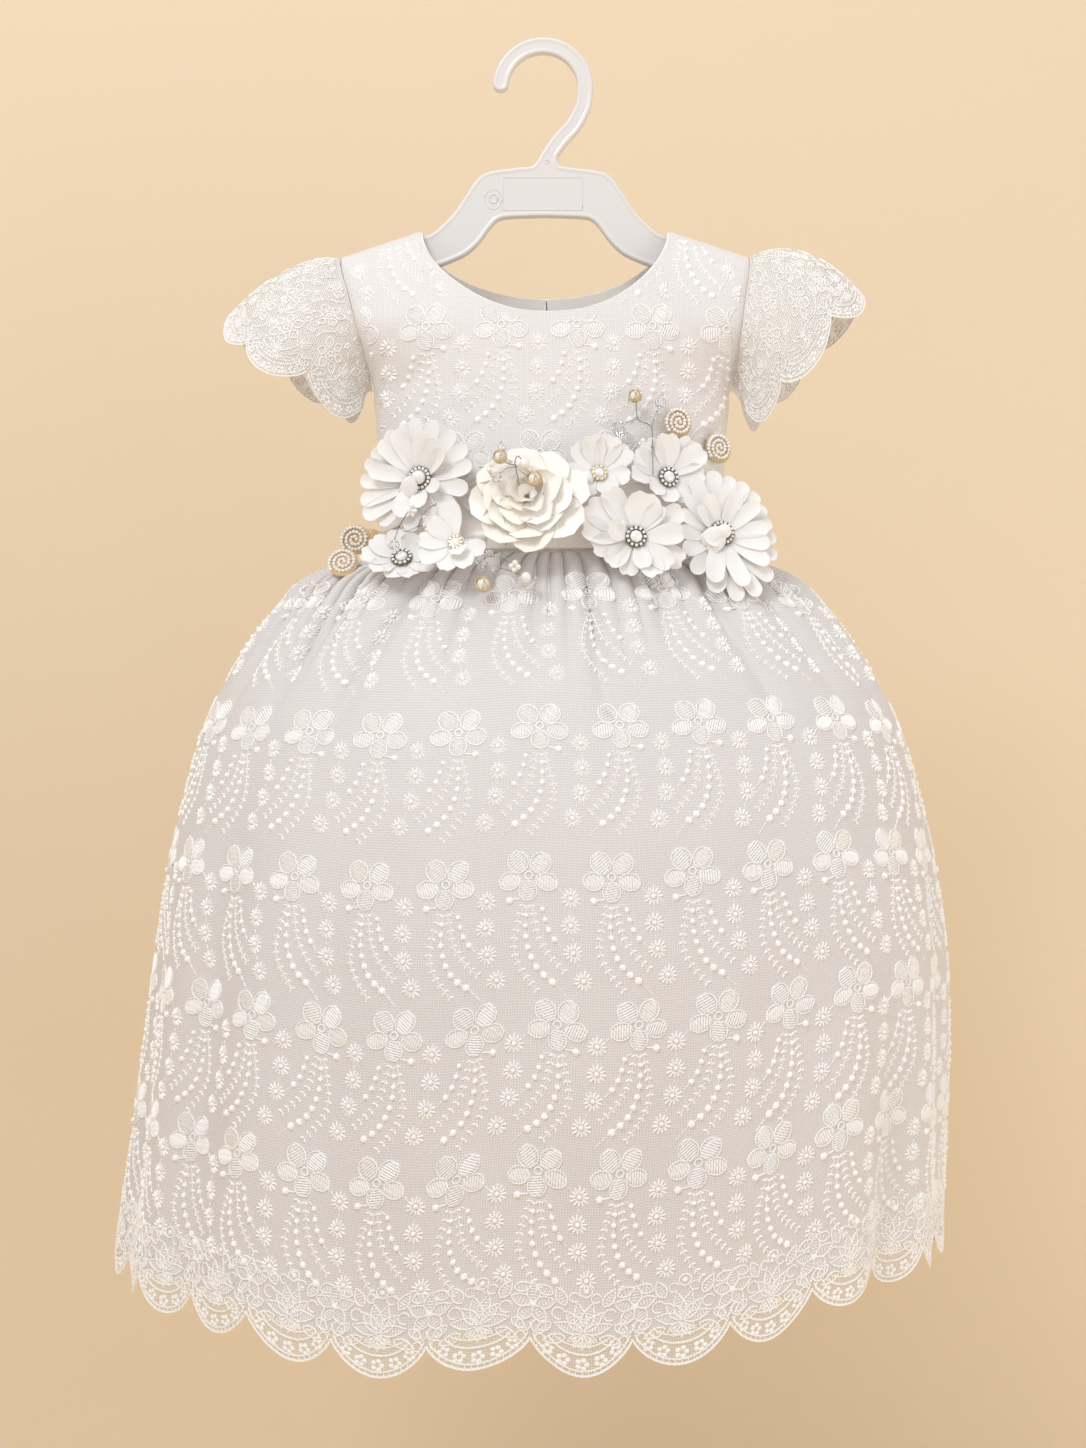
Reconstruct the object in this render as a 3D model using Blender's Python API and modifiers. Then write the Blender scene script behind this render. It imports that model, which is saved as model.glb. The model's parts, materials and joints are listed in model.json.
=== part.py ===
"""Christening gown for a baby of about one year, hanging on a one-piece moulded hanger.

Metres, +Z up, +Y to the back of the gown. The origin is the top of the inside of the hanger's hook,
where a rail carries it. Sizes below are in millimetres and are turned to metres as meshes are made.
"""

import math

import bmesh
import bpy
import numpy as np
from mathutils import Matrix, Vector

MM = 0.001

# Cloth and seams
CLOTH = 1.6
SLEEVE_CLOTH = 1.4
BELT_CLOTH = 1.2
FACING_CLOTH = 1.0
SEAM_GAP = 0.9
LAID_GAP = 0.35

# Bodice
NECK_HALF = 72.5
NECK_POINT_Z = -105.0
SHOULDER_HALF = 118.8
SHOULDER_TIP_Z = -120.3
UNDERARM_Z = -203.0
WAIST_Z = -296.0
FRONT_NECK_DEPTH = 54.0
BACK_NECK_DEPTH = 33.0
SHOULDER_ROUNDING = 120.0
ARMHOLE_SPREAD = 30.0
ARMHOLE_RISE = 45.0

# Columns of the tables: height, half width, front depth, back depth, centre offset to the right
BODICE_SECTIONS = [
    dict(z=-296, half=97.6, front=60, back=56, centre=4.0),
    dict(z=-203, half=103.5, front=50, back=46, centre=4.0),
    dict(z=-150, half=113.3, front=46, back=41, centre=1.5),
    dict(z=-120, half=118.8, front=45, back=40, centre=0.0),
    dict(z=-80, half=118.8, front=45, back=40, centre=0.0),
]
SKIRT_SECTIONS = [
    dict(z=-297.3, half=98.4, front=60.8, back=56.8, centre=4.0),
    dict(z=-299.5, half=116, front=64, back=60, centre=3.6),
    dict(z=-307, half=139, front=71, back=67, centre=3.0),
    dict(z=-327, half=161, front=86, back=82, centre=3.0),
    dict(z=-352, half=180, front=103, back=99, centre=3.0),
    dict(z=-388, half=199, front=124, back=119, centre=3.0),
    dict(z=-440, half=214.5, front=144, back=138, centre=3.5),
    dict(z=-505, half=227.5, front=158, back=152, centre=3.5),
    dict(z=-580, half=234.5, front=166, back=160, centre=1.0),
    dict(z=-640, half=237.5, front=169, back=164, centre=-3.0),
    dict(z=-698, half=240.5, front=171, back=167, centre=-8.0),
]

# Skirt folds: angle from the middle of the front to the right, half width, depth inwards, start height
SKIRT_FOLDS = [
    dict(at=-76, wide=6, deep=5, start=-420),
    dict(at=-54, wide=6, deep=7, start=-360),
    dict(at=-31, wide=7, deep=4, start=-380),
    dict(at=-9, wide=7, deep=3, start=-470),
    dict(at=15, wide=6, deep=7, start=-430),
    dict(at=35, wide=7, deep=4, start=-380),
    dict(at=55, wide=5, deep=9, start=-500),
    dict(at=74, wide=6, deep=6, start=-400),
    dict(at=101, wide=7, deep=6, start=-430),
    dict(at=124, wide=6, deep=8, start=-380),
    dict(at=147, wide=7, deep=5, start=-450),
    dict(at=169, wide=6, deep=8, start=-400),
    dict(at=192, wide=7, deep=5, start=-470),
    dict(at=214, wide=6, deep=8, start=-370),
    dict(at=236, wide=7, deep=5, start=-440),
    dict(at=257, wide=6, deep=7, start=-410),
]
FOLD_FADE = 200.0
HEM_FRONT_DROP = 17.0
HEM_BACK_RISE = 10.0
HEM_CUSP_Z = -698.0

# How far the hem is pulled up or hangs down round the skirt, at angles from the front
HEM_RISES = [
    dict(at=-180, up=0),
    dict(at=-125, up=0),
    dict(at=-90, up=3),
    dict(at=-55, up=4.5),
    dict(at=-40, up=5),
    dict(at=-27, up=-2.5),
    dict(at=-15, up=-2),
    dict(at=-4, up=7),
    dict(at=8, up=1),
    dict(at=21, up=5),
    dict(at=32, up=10),
    dict(at=45, up=21),
    dict(at=65, up=19),
    dict(at=90, up=14),
    dict(at=130, up=5),
    dict(at=180, up=0),
]
SCALLOPS_PER_HALF = 14
SCALLOP_DEPTH = 17.0
POINTS_PER_SCALLOP = 4
GATHER_DEPTH = 1.7
GATHER_FADE_Z = -352.0
GATHERED_ROWS = [-297.3, -300.5, -309, -328]
PLAIN_ROWS = [-352, -392, -446, -510, -578, -642, -698]

# Sleeve hems at the foot of the scallops: share of the way round from the front underarm, then place
SLEEVE_START_Z = dict(left=-199.0, right=-196.0)
SLEEVE_END_Z = -199.0
LEFT_SLEEVE = [
    dict(share=0.0, out=106, fore=-5, up=-205),
    dict(share=0.08, out=118, fore=-20, up=-204),
    dict(share=0.17, out=139, fore=-34, up=-191),
    dict(share=0.25, out=156, fore=-36, up=-183),
    dict(share=0.33, out=171, fore=-27, up=-173),
    dict(share=0.42, out=179, fore=-14, up=-161),
    dict(share=0.5, out=181, fore=2, up=-150),
    dict(share=0.62, out=165, fore=27, up=-168),
    dict(share=0.75, out=140, fore=36, up=-186),
    dict(share=0.88, out=119, fore=23, up=-200),
    dict(share=1.0, out=107, fore=5, up=-204),
]
RIGHT_SLEEVE = [
    dict(share=0.0, out=117, fore=-9, up=-211),
    dict(share=0.08, out=125, fore=-23, up=-206),
    dict(share=0.17, out=137, fore=-33, up=-194),
    dict(share=0.25, out=150, fore=-36, up=-177),
    dict(share=0.33, out=163, fore=-30, up=-158),
    dict(share=0.42, out=176, fore=-15, up=-146),
    dict(share=0.5, out=182, fore=2, up=-138),
    dict(share=0.62, out=165, fore=27, up=-158),
    dict(share=0.75, out=145, fore=38, up=-182),
    dict(share=0.88, out=127, fore=25, up=-203),
    dict(share=1.0, out=117, fore=6, up=-209),
]
SLEEVE_SCALLOPS = 6
SLEEVE_SCALLOP_DEPTH = 9.5
SLEEVE_PUFF = dict(left=11.0, right=20.0)
SLEEVE_ROWS = 5
SLEEVE_GATHER = 0.9

# Belt, back opening and its buttons
BELT_TOP_Z = -251.0
BELT_BOTTOM_Z = -295.4
BELT_END_TURN = 0.5
PLACKET_HALF = 8.0
BUTTON_COUNT = 4
BUTTON_RADIUS = 4.5

# Hanger
HOOK_INNER_RADIUS = 20.35
HOOK_BAR = 9.3
HOOK_CENTRE_X = -1.2
HANGER_THICK = 7.0
HANGER_ROUNDING = 1.4
HANGER_TIP_X = 112.0
SHOULDER_DROP = 3.2

# Flowers: middle (across, fore, up), angle round the belt and height of the post's foot, turn to the
# right and upwards of the way each faces, petals, their radius and rise, and the jewel's radius
FLOWERS = [
    dict(name="daisy_left", across=-70, fore=-57, up=-256, foot_at=-47, foot_up=-258, turn=-15, tilt=6,
         petals=16, radius=30, rise=8, gem=7.2),
    dict(name="blossom_left", across=-49.4, fore=-79, up=-294, foot_at=-33, foot_up=-289, turn=-4, tilt=20,
         petals=6, radius=17, rise=3, gem=4.3),
    dict(name="blossom_low_left", across=-80, fore=-66, up=-302, foot_at=-45, foot_up=-289, turn=-8, tilt=40,
         petals=6, radius=20, rise=3, gem=6.2),
    dict(name="blossom_top", across=30, fore=-66, up=-254, foot_at=15.5, foot_up=-257, turn=6, tilt=12,
         petals=6, radius=19, rise=2, gem=4.6),
    dict(name="blossom_right", across=69, fore=-53.5, up=-255, foot_at=41.7, foot_up=-257, turn=20, tilt=10,
         petals=7, radius=20, rise=2, gem=5.6),
    dict(name="cosmos", across=50, fore=-75, up=-290.5, foot_at=28, foot_up=-289, turn=8, tilt=10,
         petals=9, radius=27, rise=5, gem=6.0),
    dict(name="daisy_right", across=99, fore=-54, up=-287, foot_at=61, foot_up=-286, turn=20, tilt=18,
         petals=16, radius=31, rise=7, gem=8.2),
]
BUD_BEHIND = dict(name="blossom_behind", across=-50.5, fore=-56, up=-261.5, foot_at=-33.5, foot_up=-261.5,
                  turn=-22, tilt=0, petals=5, radius=13, rise=1)
ROSE = dict(name="rose", across=-9.5, fore=-77, up=-272, foot_at=-8, foot_up=-271, turn=-3, tilt=6,
            petals=7, radius=29, rise=6)
ROSE_INNER = dict(petals=5, radius=19, rise=8, lift=4.5)
ROSE_BUD_RADIUS = 9.5
ROSE_BUD_LIFT = 8.5
PETAL_THICK = 1.0
PETAL_CROWN = 1.2
STEM_RADIUS = 3.0
POST_CLEAR = 0.15

# Beaded spiral rosettes: two on the bodice at the right, two on a ribbon at the left
ROSETTES = [
    dict(
        name="rosette_right_1", across=75.5, fore=-46, up=-222.5, foot_at=46, foot_up=-222.5, turn=25, tilt=4
    ),
    dict(name="rosette_right_2", across=100, fore=-27.5, up=-235, foot_at=66, foot_up=-235, turn=32, tilt=4),
    dict(name="rosette_left_1", across=-109.5, fore=-25.1, up=-287.5, turn=-12, tilt=4),
    dict(name="rosette_left_2", across=-115, fore=-43, up=-302, turn=-10, tilt=25),
]
ROSETTE_RADIUS = 9.2
ROSETTE_THICK = 2.2
RIBBON = [
    dict(across=-84, fore=-31.9, up=-288),
    dict(across=-91, fore=-26.5, up=-288),
    dict(across=-100, fore=-24.8, up=-288),
    dict(across=-111, fore=-23.4, up=-288),
]
RIBBON_WIDE = 12.0

FRONT_TO_SIDE_COLUMNS = 5
NECK_COLUMNS = 12
BODICE_ROWS = 10


def column(table, key):
    """One named column of a table as an array."""
    return np.array([row[key] for row in table], float)


def curve_through(xs, ys, x):
    """A smooth curve through the points xs, ys, read at x, with each slope taken from the neighbours."""
    xs = np.asarray(xs, float)
    ys = np.asarray(ys, float)
    if xs[0] > xs[-1]:
        xs = xs[::-1]
        ys = ys[::-1]
    x = np.clip(np.asarray(x, float), xs[0], xs[-1])
    chords = np.diff(ys) / np.diff(xs)
    slopes = np.concatenate([chords[:1], (chords[1:] + chords[:-1]) / 2, chords[-1:]])
    flatter = np.minimum(np.abs(chords[1:]), np.abs(chords[:-1]))
    steep = np.abs(np.concatenate([chords[:1], flatter, chords[-1:]]))
    slopes = np.clip(slopes, -3 * steep, 3 * steep)
    i = np.clip(np.searchsorted(xs, x, side="right") - 1, 0, len(xs) - 2)
    width = xs[i + 1] - xs[i]
    s = (x - xs[i]) / width
    start = ys[i] * (1 + 2 * s) * (1 - s) ** 2 + slopes[i] * width * s * (1 - s) ** 2
    end = ys[i + 1] * s**2 * (3 - 2 * s) - slopes[i + 1] * width * s**2 * (1 - s)
    return start + end


def ease(share):
    """0 to 1 with flat ends."""
    share = np.clip(share, 0.0, 1.0)
    return share * share * (3 - 2 * share)


def section(table, key, z):
    """A size of the garment at height z."""
    return curve_through(column(table, "z"), column(table, key), z)


def shoulder_z(x):
    """Height of the shoulder line at a distance x from the middle."""
    slope = (NECK_POINT_Z - SHOULDER_TIP_Z) / (SHOULDER_HALF - NECK_HALF)
    return NECK_POINT_Z - slope * (np.abs(x) - NECK_HALF)


def bodice_point(face, angle, z):
    """A point of the bodice's middle surface. face is -1 for the front and 1 for the back, and the
    angle runs from -90 degrees at the left side seam to 90 degrees at the right one."""
    across = math.sin(math.radians(angle))
    inwards = math.cos(math.radians(angle))
    half = section(BODICE_SECTIONS, "half", z)
    depth = section(BODICE_SECTIONS, "front" if face < 0 else "back", z)
    spread = ARMHOLE_SPREAD * ease((z - UNDERARM_Z) / ARMHOLE_RISE)
    below = max(0.0, float(shoulder_z(across * SHOULDER_HALF)) - z)
    share = min(1.0, below / SHOULDER_ROUNDING)
    rounding = math.sin(0.5 * math.pi * share**0.6)
    reach = (spread + (depth - spread) * inwards) * rounding + SEAM_GAP / 2
    return np.array([section(BODICE_SECTIONS, "centre", z) + across * half, face * reach, z])


def bodice_top(face, angle):
    """Height of the bodice's upper edge: the neckline in the middle and the shoulder seam beside it."""
    across = abs(math.sin(math.radians(angle)))
    neck = NECK_HALF / SHOULDER_HALF
    if across >= neck - 1e-9:
        return float(shoulder_z(across * SHOULDER_HALF))
    depth = FRONT_NECK_DEPTH if face < 0 else BACK_NECK_DEPTH
    return NECK_POINT_Z - depth * (1 - (across / neck) ** 2.2) ** 0.6


def bodice_angles():
    """Column angles from the left side seam to the right one, with one at each end of the neckline."""
    neck = math.degrees(math.asin(NECK_HALF / SHOULDER_HALF))
    side = np.linspace(-90, -neck, FRONT_TO_SIDE_COLUMNS + 1)
    middle = -neck * np.cos(np.linspace(0, math.pi, NECK_COLUMNS + 1))
    middle = 0.5 * middle + 0.5 * np.linspace(-neck, neck, NECK_COLUMNS + 1)
    return np.concatenate([side[:-1], middle, -side[::-1][1:]])


def bodice_rows(face, angle):
    """Heights down one column, closer together at the top, where the cloth turns over the shoulder."""
    top = bodice_top(face, angle)
    return [top - (top - WAIST_Z) * (row / BODICE_ROWS) ** 2 for row in range(BODICE_ROWS + 1)]


def bodice_grid(face, angles):
    """Points of a bodice panel, row by row from its upper edge down."""
    columns = [[bodice_point(face, a, z) for z in bodice_rows(face, a)] for a in angles]
    return np.array(columns).transpose(1, 0, 2)


def outward_normals(grid, face):
    """Unit normals of a bodice grid, pointing away from the body."""
    down = np.gradient(grid, axis=0)
    along = np.gradient(grid, axis=1)
    normals = np.cross(down, along)
    normals /= np.linalg.norm(normals, axis=2, keepdims=True)
    turned = np.sign((normals[..., 1] * face).sum())
    return normals * turned


def ring_point(angle, z, off):
    """A point beside the bodice at a full-turn angle, off millimetres out from its middle surface,
    and the outward direction there. Angle 0 is the middle of the front, and 90 the right side."""
    turn = math.radians(angle)
    half = float(section(BODICE_SECTIONS, "half", z))
    face_depth = "front" if math.cos(turn) >= 0 else "back"
    depth = float(section(BODICE_SECTIONS, face_depth, z)) + SEAM_GAP / 2
    centre = float(section(BODICE_SECTIONS, "centre", z))
    out = np.array([math.sin(turn) / half, -math.cos(turn) / depth, 0.0])
    out /= np.linalg.norm(out)
    return np.array([centre + half * math.sin(turn), -depth * math.cos(turn), z]) + out * off, out


def skirt_fold(angle, z):
    """How far the skirt's surface lies in at this angle and height, from its long soft folds."""
    depth = 0.0
    for fold in SKIRT_FOLDS:
        apart = (angle - fold["at"] + 180) % 360 - 180
        trough = math.exp(-((apart / fold["wide"]) ** 2))
        depth += fold["deep"] * trough * float(ease((fold["start"] - z) / FOLD_FADE))
    return depth


def hem_cusp_z(angle):
    """Height of the hem where two scallops meet: lowest at the front and highest at the back."""
    front = max(0.0, math.cos(math.radians(angle)))
    back = max(0.0, -math.cos(math.radians(angle)))
    round_turn = (angle + 180) % 360 - 180
    rise = float(curve_through(column(HEM_RISES, "at"), column(HEM_RISES, "up"), round_turn))
    return HEM_CUSP_Z - HEM_FRONT_DROP * front**1.5 + HEM_BACK_RISE * back + rise


def skirt_point(angle, row_z, gather, lobe):
    """A point of the skirt's middle surface. row_z is its height on the side of the skirt, gather is
    from -1 to 1 across one gather, and lobe is from 0 to 1 across one scallop."""
    turn = math.radians(angle)
    top = SKIRT_SECTIONS[0]["z"]
    stretch = (hem_cusp_z(angle) - top) / (HEM_CUSP_Z - top)
    z = top + (row_z - top) * stretch - SCALLOP_DEPTH * lobe
    half = float(section(SKIRT_SECTIONS, "half", row_z))
    depth = float(section(SKIRT_SECTIONS, "front" if math.cos(turn) >= 0 else "back", row_z))
    out = np.array([math.sin(turn) / half, -math.cos(turn) / depth, 0.0])
    out /= np.linalg.norm(out)
    centre = float(section(SKIRT_SECTIONS, "centre", row_z))
    point = np.array([centre + half * math.sin(turn), -depth * math.cos(turn), z])
    fade = float(ease((row_z - GATHER_FADE_Z) / 30.0))
    return point + out * (GATHER_DEPTH * gather * fade - skirt_fold(angle, row_z))


def make_material(name, colour, roughness, metallic=0.0):
    """A plain finish for one kind of piece."""
    material = bpy.data.materials.new(name)
    material.use_nodes = True
    shader = material.node_tree.nodes["Principled BSDF"]
    shader.inputs["Base Color"].default_value = (*colour, 1.0)
    shader.inputs["Roughness"].default_value = roughness
    shader.inputs["Metallic"].default_value = metallic
    return material


def add_object(name, mesh, material, collection):
    """Links a mesh as a named object with its material."""
    thing = bpy.data.objects.new(name, mesh)
    mesh.materials.append(material)
    collection.objects.link(thing)
    return thing


def sheet_mesh(name, points, faces):
    """An open surface from points in millimetres."""
    mesh = bpy.data.meshes.new(name)
    mesh.from_pydata([Vector(p) * MM for p in points], [], faces)
    mesh.shade_smooth()
    return mesh


def grid_faces(rows, columns):
    """Quads between neighbouring points of a grid."""
    return [
        (r * columns + c, r * columns + c + 1, (r + 1) * columns + c + 1, (r + 1) * columns + c)
        for r in range(rows - 1)
        for c in range(columns - 1)
    ]


def thicken(thing, thickness):
    """Turns an open surface into a wall of even thickness about it."""
    solidify = thing.modifiers.new("Wall", "SOLIDIFY")
    solidify.thickness = thickness * MM
    solidify.offset = 0.0
    solidify.use_even_offset = False
    return thing


def add_wall(name, grid, thickness, material, collection):
    """A cloth wall through a grid of points in millimetres."""
    rows, columns = grid.shape[:2]
    mesh = sheet_mesh(name, grid.reshape(-1, 3), grid_faces(rows, columns))
    return thicken(add_object(name, mesh, material, collection), thickness)


def build_bodice(cloth, facing_cloth, pearl, collection):
    """Front panel, two back panels, the facings inside the back neck, and the buttoned placket."""
    angles = bodice_angles()
    middle = len(angles) // 2
    add_wall("bodice_front", bodice_grid(-1, angles), CLOTH, cloth, collection)
    back = bodice_grid(1, angles)
    normals = outward_normals(back, 1)
    opening = SEAM_GAP / 2
    halves = {"left": slice(0, middle + 1), "right": slice(middle, None)}
    for side, part in halves.items():
        panel = back[:, part].copy()
        edge = -1 if side == "left" else 0
        panel[:, edge, 0] += -opening if side == "left" else opening
        add_wall(f"bodice_back_{side}", panel, CLOTH, cloth, collection)
        step = -(CLOTH / 2 + LAID_GAP + FACING_CLOTH / 2)
        start = FRONT_TO_SIDE_COLUMNS + 2
        kept = slice(start, None) if side == "left" else slice(0, panel.shape[1] - start)
        inner = (panel + normals[:, part] * step)[0:4, kept]
        add_wall(f"neck_facing_{side}", inner, FACING_CLOTH, facing_cloth, collection)
    build_placket(facing_cloth, pearl, collection)


def build_placket(cloth, pearl, collection):
    """The strip that laps over the back opening from the neck to the belt, and its buttons."""
    centre_angle = 0.0
    top = bodice_top(1, centre_angle) - 1.0
    heights = np.linspace(top, BELT_TOP_Z + 1.5, 7)
    off = CLOTH / 2 + LAID_GAP + FACING_CLOTH / 2 + 0.35
    rows = []
    for z in heights:
        row = []
        for across in (-PLACKET_HALF, 0.0, PLACKET_HALF):
            half = float(section(BODICE_SECTIONS, "half", z))
            angle = math.degrees(math.asin(across / half))
            row.append(bodice_point(1, angle, z) + np.array([0.0, off, 0.0]))
        rows.append(row)
    add_wall("back_placket", np.array(rows), FACING_CLOTH, cloth, collection)
    seat = FACING_CLOTH / 2 + LAID_GAP
    spacing = (heights[0] - heights[-1]) / BUTTON_COUNT
    for number in range(BUTTON_COUNT):
        z = heights[0] - spacing * (number + 0.35)
        place = bodice_point(1, centre_angle, z) + np.array([0.0, off + seat, 0.0])
        above = bodice_point(1, centre_angle, z + 3)
        below = bodice_point(1, centre_angle, z - 3)
        out = np.cross(above - below, np.array([1.0, 0.0, 0.0]))
        out *= np.sign(out[1]) / np.linalg.norm(out)
        profile = [(0, 3.0), (2.4, 2.7), (BUTTON_RADIUS, 1.4), (BUTTON_RADIUS, 0.6), (3.2, 0), (0, 0)]
        add_turned(f"button_{number + 1}", profile, 12, place, out, pearl, collection)


def add_turned(name, profile, steps, place, out, material, collection):
    """A round piece turned about its own axis from a profile of radius and height, set facing out."""
    mesh = bpy.data.meshes.new(name)
    points = [Vector((radius * MM, 0.0, height * MM)) for radius, height in profile]
    mesh.from_pydata(points, [(i, i + 1) for i in range(len(points) - 1)], [])
    thing = add_object(name, mesh, material, collection)
    screw = thing.modifiers.new("Turn", "SCREW")
    screw.steps = steps
    screw.render_steps = steps
    screw.use_merge_vertices = True
    screw.merge_threshold = 0.00001
    thing.location = Vector(place) * MM
    thing.rotation_euler = Vector(out).to_track_quat("Z", "Y").to_euler()
    return thing


def build_sleeve(name, side, table, start_z, high, cloth, collection):
    """A cap sleeve: a strip from the armhole, out over the arm, to its scalloped lace hem. It is puffed
    upwards in the middle by high."""
    count = SLEEVE_SCALLOPS * POINTS_PER_SCALLOP
    half = count // 2
    seam_off = CLOTH / 2 + LAID_GAP + 0.25
    columns = []
    for step in range(count + 1):
        share = step / count
        face = -1 if step <= half else 1
        low = start_z if step <= half else SLEEVE_END_Z
        z = SHOULDER_TIP_Z - (SHOULDER_TIP_Z - low) * abs(1 - step / half) ** 2
        seam = bodice_point(face, side * 90, z)
        seam[0] += side * seam_off
        if step == half:
            seam[1] = 0.0
        shares = column(table, "share")
        hem = np.array(
            [
                side * float(curve_through(shares, column(table, "out"), share)),
                float(curve_through(shares, column(table, "fore"), share)),
                float(curve_through(shares, column(table, "up"), share)),
            ]
        )
        arch = math.sin(math.pi * share)
        swing = math.sin(2 * math.pi * share)
        puff = np.array([side * 2.0, -7.0 * swing, high * arch + 3.0])
        control = (seam + hem) / 2 + puff
        direction = hem - control
        direction /= np.linalg.norm(direction)
        lobe = math.sin(math.pi * (step % POINTS_PER_SCALLOP) / POINTS_PER_SCALLOP) ** 0.7
        ripple = SLEEVE_GATHER * math.cos(0.5 * math.pi * step) * arch
        line = []
        for row in range(SLEEVE_ROWS + 1):
            s = row / SLEEVE_ROWS
            point = (1 - s) ** 2 * seam + 2 * s * (1 - s) * control + s * s * hem
            point = point + puff / np.linalg.norm(puff) * ripple * math.sin(math.pi * s)
            if row == SLEEVE_ROWS:
                point = point + direction * SLEEVE_SCALLOP_DEPTH * lobe
            line.append(point)
        columns.append(line)
    grid = np.array(columns).transpose(1, 0, 2)
    add_wall(name, grid, SLEEVE_CLOTH, cloth, collection)


def skirt_half(name, start_angle, cloth, collection):
    """Half of the skirt, from one side seam to the other. Its gathered top has twice the columns of
    the rest, and each gather is four columns wide."""
    plain = SCALLOPS_PER_HALF * POINTS_PER_SCALLOP
    fine = 2 * plain
    parted = np.array([0.0, SEAM_GAP / 2 if start_angle > 0 else -SEAM_GAP / 2, 0.0])
    points = []
    faces = []
    for row_z in GATHERED_ROWS:
        for step in range(fine + 1):
            gather = 0.0 if step in (0, fine) else math.cos(0.5 * math.pi * step)
            points.append(skirt_point(start_angle + 180 * step / fine, row_z, gather, 0.0) + parted)
    faces += grid_faces(len(GATHERED_ROWS), fine + 1)
    last_fine = (len(GATHERED_ROWS) - 1) * (fine + 1)
    first_plain = len(points)
    for row_z in PLAIN_ROWS:
        for step in range(plain + 1):
            hem = row_z == PLAIN_ROWS[-1]
            lobe = math.sin(math.pi * (step % POINTS_PER_SCALLOP) / POINTS_PER_SCALLOP) ** 0.7
            angle = start_angle + 180 * step / plain
            points.append(skirt_point(angle, row_z, 0.0, lobe if hem else 0.0) + parted)
    for step in range(plain):
        upper = last_fine + 2 * step
        lower = first_plain + step
        faces.append((upper, upper + 1, lower))
        faces.append((upper + 1, lower + 1, lower))
        faces.append((upper + 1, upper + 2, lower + 1))
    faces += [tuple(first_plain + i for i in f) for f in grid_faces(len(PLAIN_ROWS), plain + 1)]
    mesh = sheet_mesh(name, points, faces)
    thicken(add_object(name, mesh, cloth, collection), CLOTH)


def build_belt(satin, collection):
    """The satin sash round the waist, laid on the bodice, with its ends meeting behind."""
    front = bodice_angles()
    left_back = [-180 - angle for angle in front[::-1] if -90 < angle < 0]
    right_back = [180 - angle for angle in front[::-1] if 0 < angle < 90]
    turns = [-180 + BELT_END_TURN, *left_back, *front, *right_back, 180 - BELT_END_TURN]
    off = CLOTH / 2 + LAID_GAP + BELT_CLOTH / 2 + 0.1
    heights = (BELT_TOP_Z, (BELT_TOP_Z + BELT_BOTTOM_Z) / 2, BELT_BOTTOM_Z)
    rows = [[ring_point(turn, z, off)[0] for turn in turns] for z in heights]
    add_wall("belt", np.array(rows), BELT_CLOTH, satin, collection)


def hook_centreline():
    """The middle line of the hook, from its foot on the hanger up and round to its tip."""
    radius = HOOK_INNER_RADIUS + HOOK_BAR / 2
    foot = [(1.5, -64.0), (3.5, -58.5), (9.5, -50.2), (17.2, -41.5), (22.3, -31.5)]
    arc = [
        (
            HOOK_CENTRE_X + radius * math.cos(math.radians(turn)),
            -HOOK_INNER_RADIUS + radius * math.sin(math.radians(turn)),
        )
        for turn in np.linspace(-4, 174, 14)
    ]
    return np.array(foot + arc)


def smooth_outline(points, between):
    """Points of an open smooth curve through the given ones, with some added between each pair."""
    points = np.array(points, float)
    steps = np.arange(len(points))
    wanted = np.linspace(0, len(points) - 1, (len(points) - 1) * between + 1)
    across, up = (curve_through(steps, points[:, axis], wanted) for axis in (0, 1))
    return list(zip(across, up))


def build_hanger(plastic, collection):
    """A flat moulded hanger, hook and shoulders in one, with rounded edges."""
    line = hook_centreline()
    along = np.gradient(line, axis=0)
    along /= np.linalg.norm(along, axis=1, keepdims=True)
    side = np.stack([-along[:, 1], along[:, 0]], axis=1) * HOOK_BAR / 2
    tip = [
        tuple(line[-1] + along[-1] * HOOK_BAR / 2 * math.sin(turn) + side[-1] * math.cos(turn))
        for turn in np.linspace(0, math.pi, 6)[1:-1]
    ]
    left_side = [tuple(p) for p in line + side]
    right_side = [tuple(p) for p in line - side]
    arm_x = np.array([68.0, 82.0, 96.0, HANGER_TIP_X - 4])
    arm_top = [(x, float(shoulder_z(x)) - SHOULDER_DROP) for x in arm_x]
    end_z = float(shoulder_z(HANGER_TIP_X)) - SHOULDER_DROP
    half_top = [(12.5, -66.8), (32.4, -69.5), (40, -74.0), (46.5, -83.3), (53, -93.0), (60, -100.4)]
    end = [(HANGER_TIP_X, end_z - 4), (HANGER_TIP_X - 1.5, end_z - 12)]
    under = [(96, -135.5), (78, -130), (62, -125), (54, -122), (45.9, -118), (38.2, -111), (31.5, -102)]
    last = [(25.6, -97.4), (12, -96.3), (0, -96)]
    right_half = smooth_outline(half_top + arm_top, 1) + end + smooth_outline(under + last, 1)
    left_half = [(-x, z) for x, z in reversed(right_half[:-1])]
    outline = right_half + left_half + [(-9.5, -66.8)] + left_side[1:] + tip + right_side[::-1][:-1]
    outline.append((8.0, -65.6))
    rim = bmesh.new()
    corners = [rim.verts.new((x * MM, -HANGER_THICK / 2 * MM, z * MM)) for x, z in outline]
    face = rim.faces.new(corners)
    made = bmesh.ops.extrude_face_region(rim, geom=[face])
    moved = [v for v in made["geom"] if isinstance(v, bmesh.types.BMVert)]
    bmesh.ops.translate(rim, verts=moved, vec=(0.0, HANGER_THICK * MM, 0.0))
    bmesh.ops.recalc_face_normals(rim, faces=rim.faces)
    mesh = bpy.data.meshes.new("hanger")
    rim.to_mesh(mesh)
    rim.free()
    thing = add_object("hanger", mesh, plastic, collection)
    bevel = thing.modifiers.new("Rounded edges", "BEVEL")
    bevel.width = HANGER_ROUNDING * MM
    bevel.segments = 1
    bevel.limit_method = "ANGLE"
    bevel.angle_limit = math.radians(60)
    return thing


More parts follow.
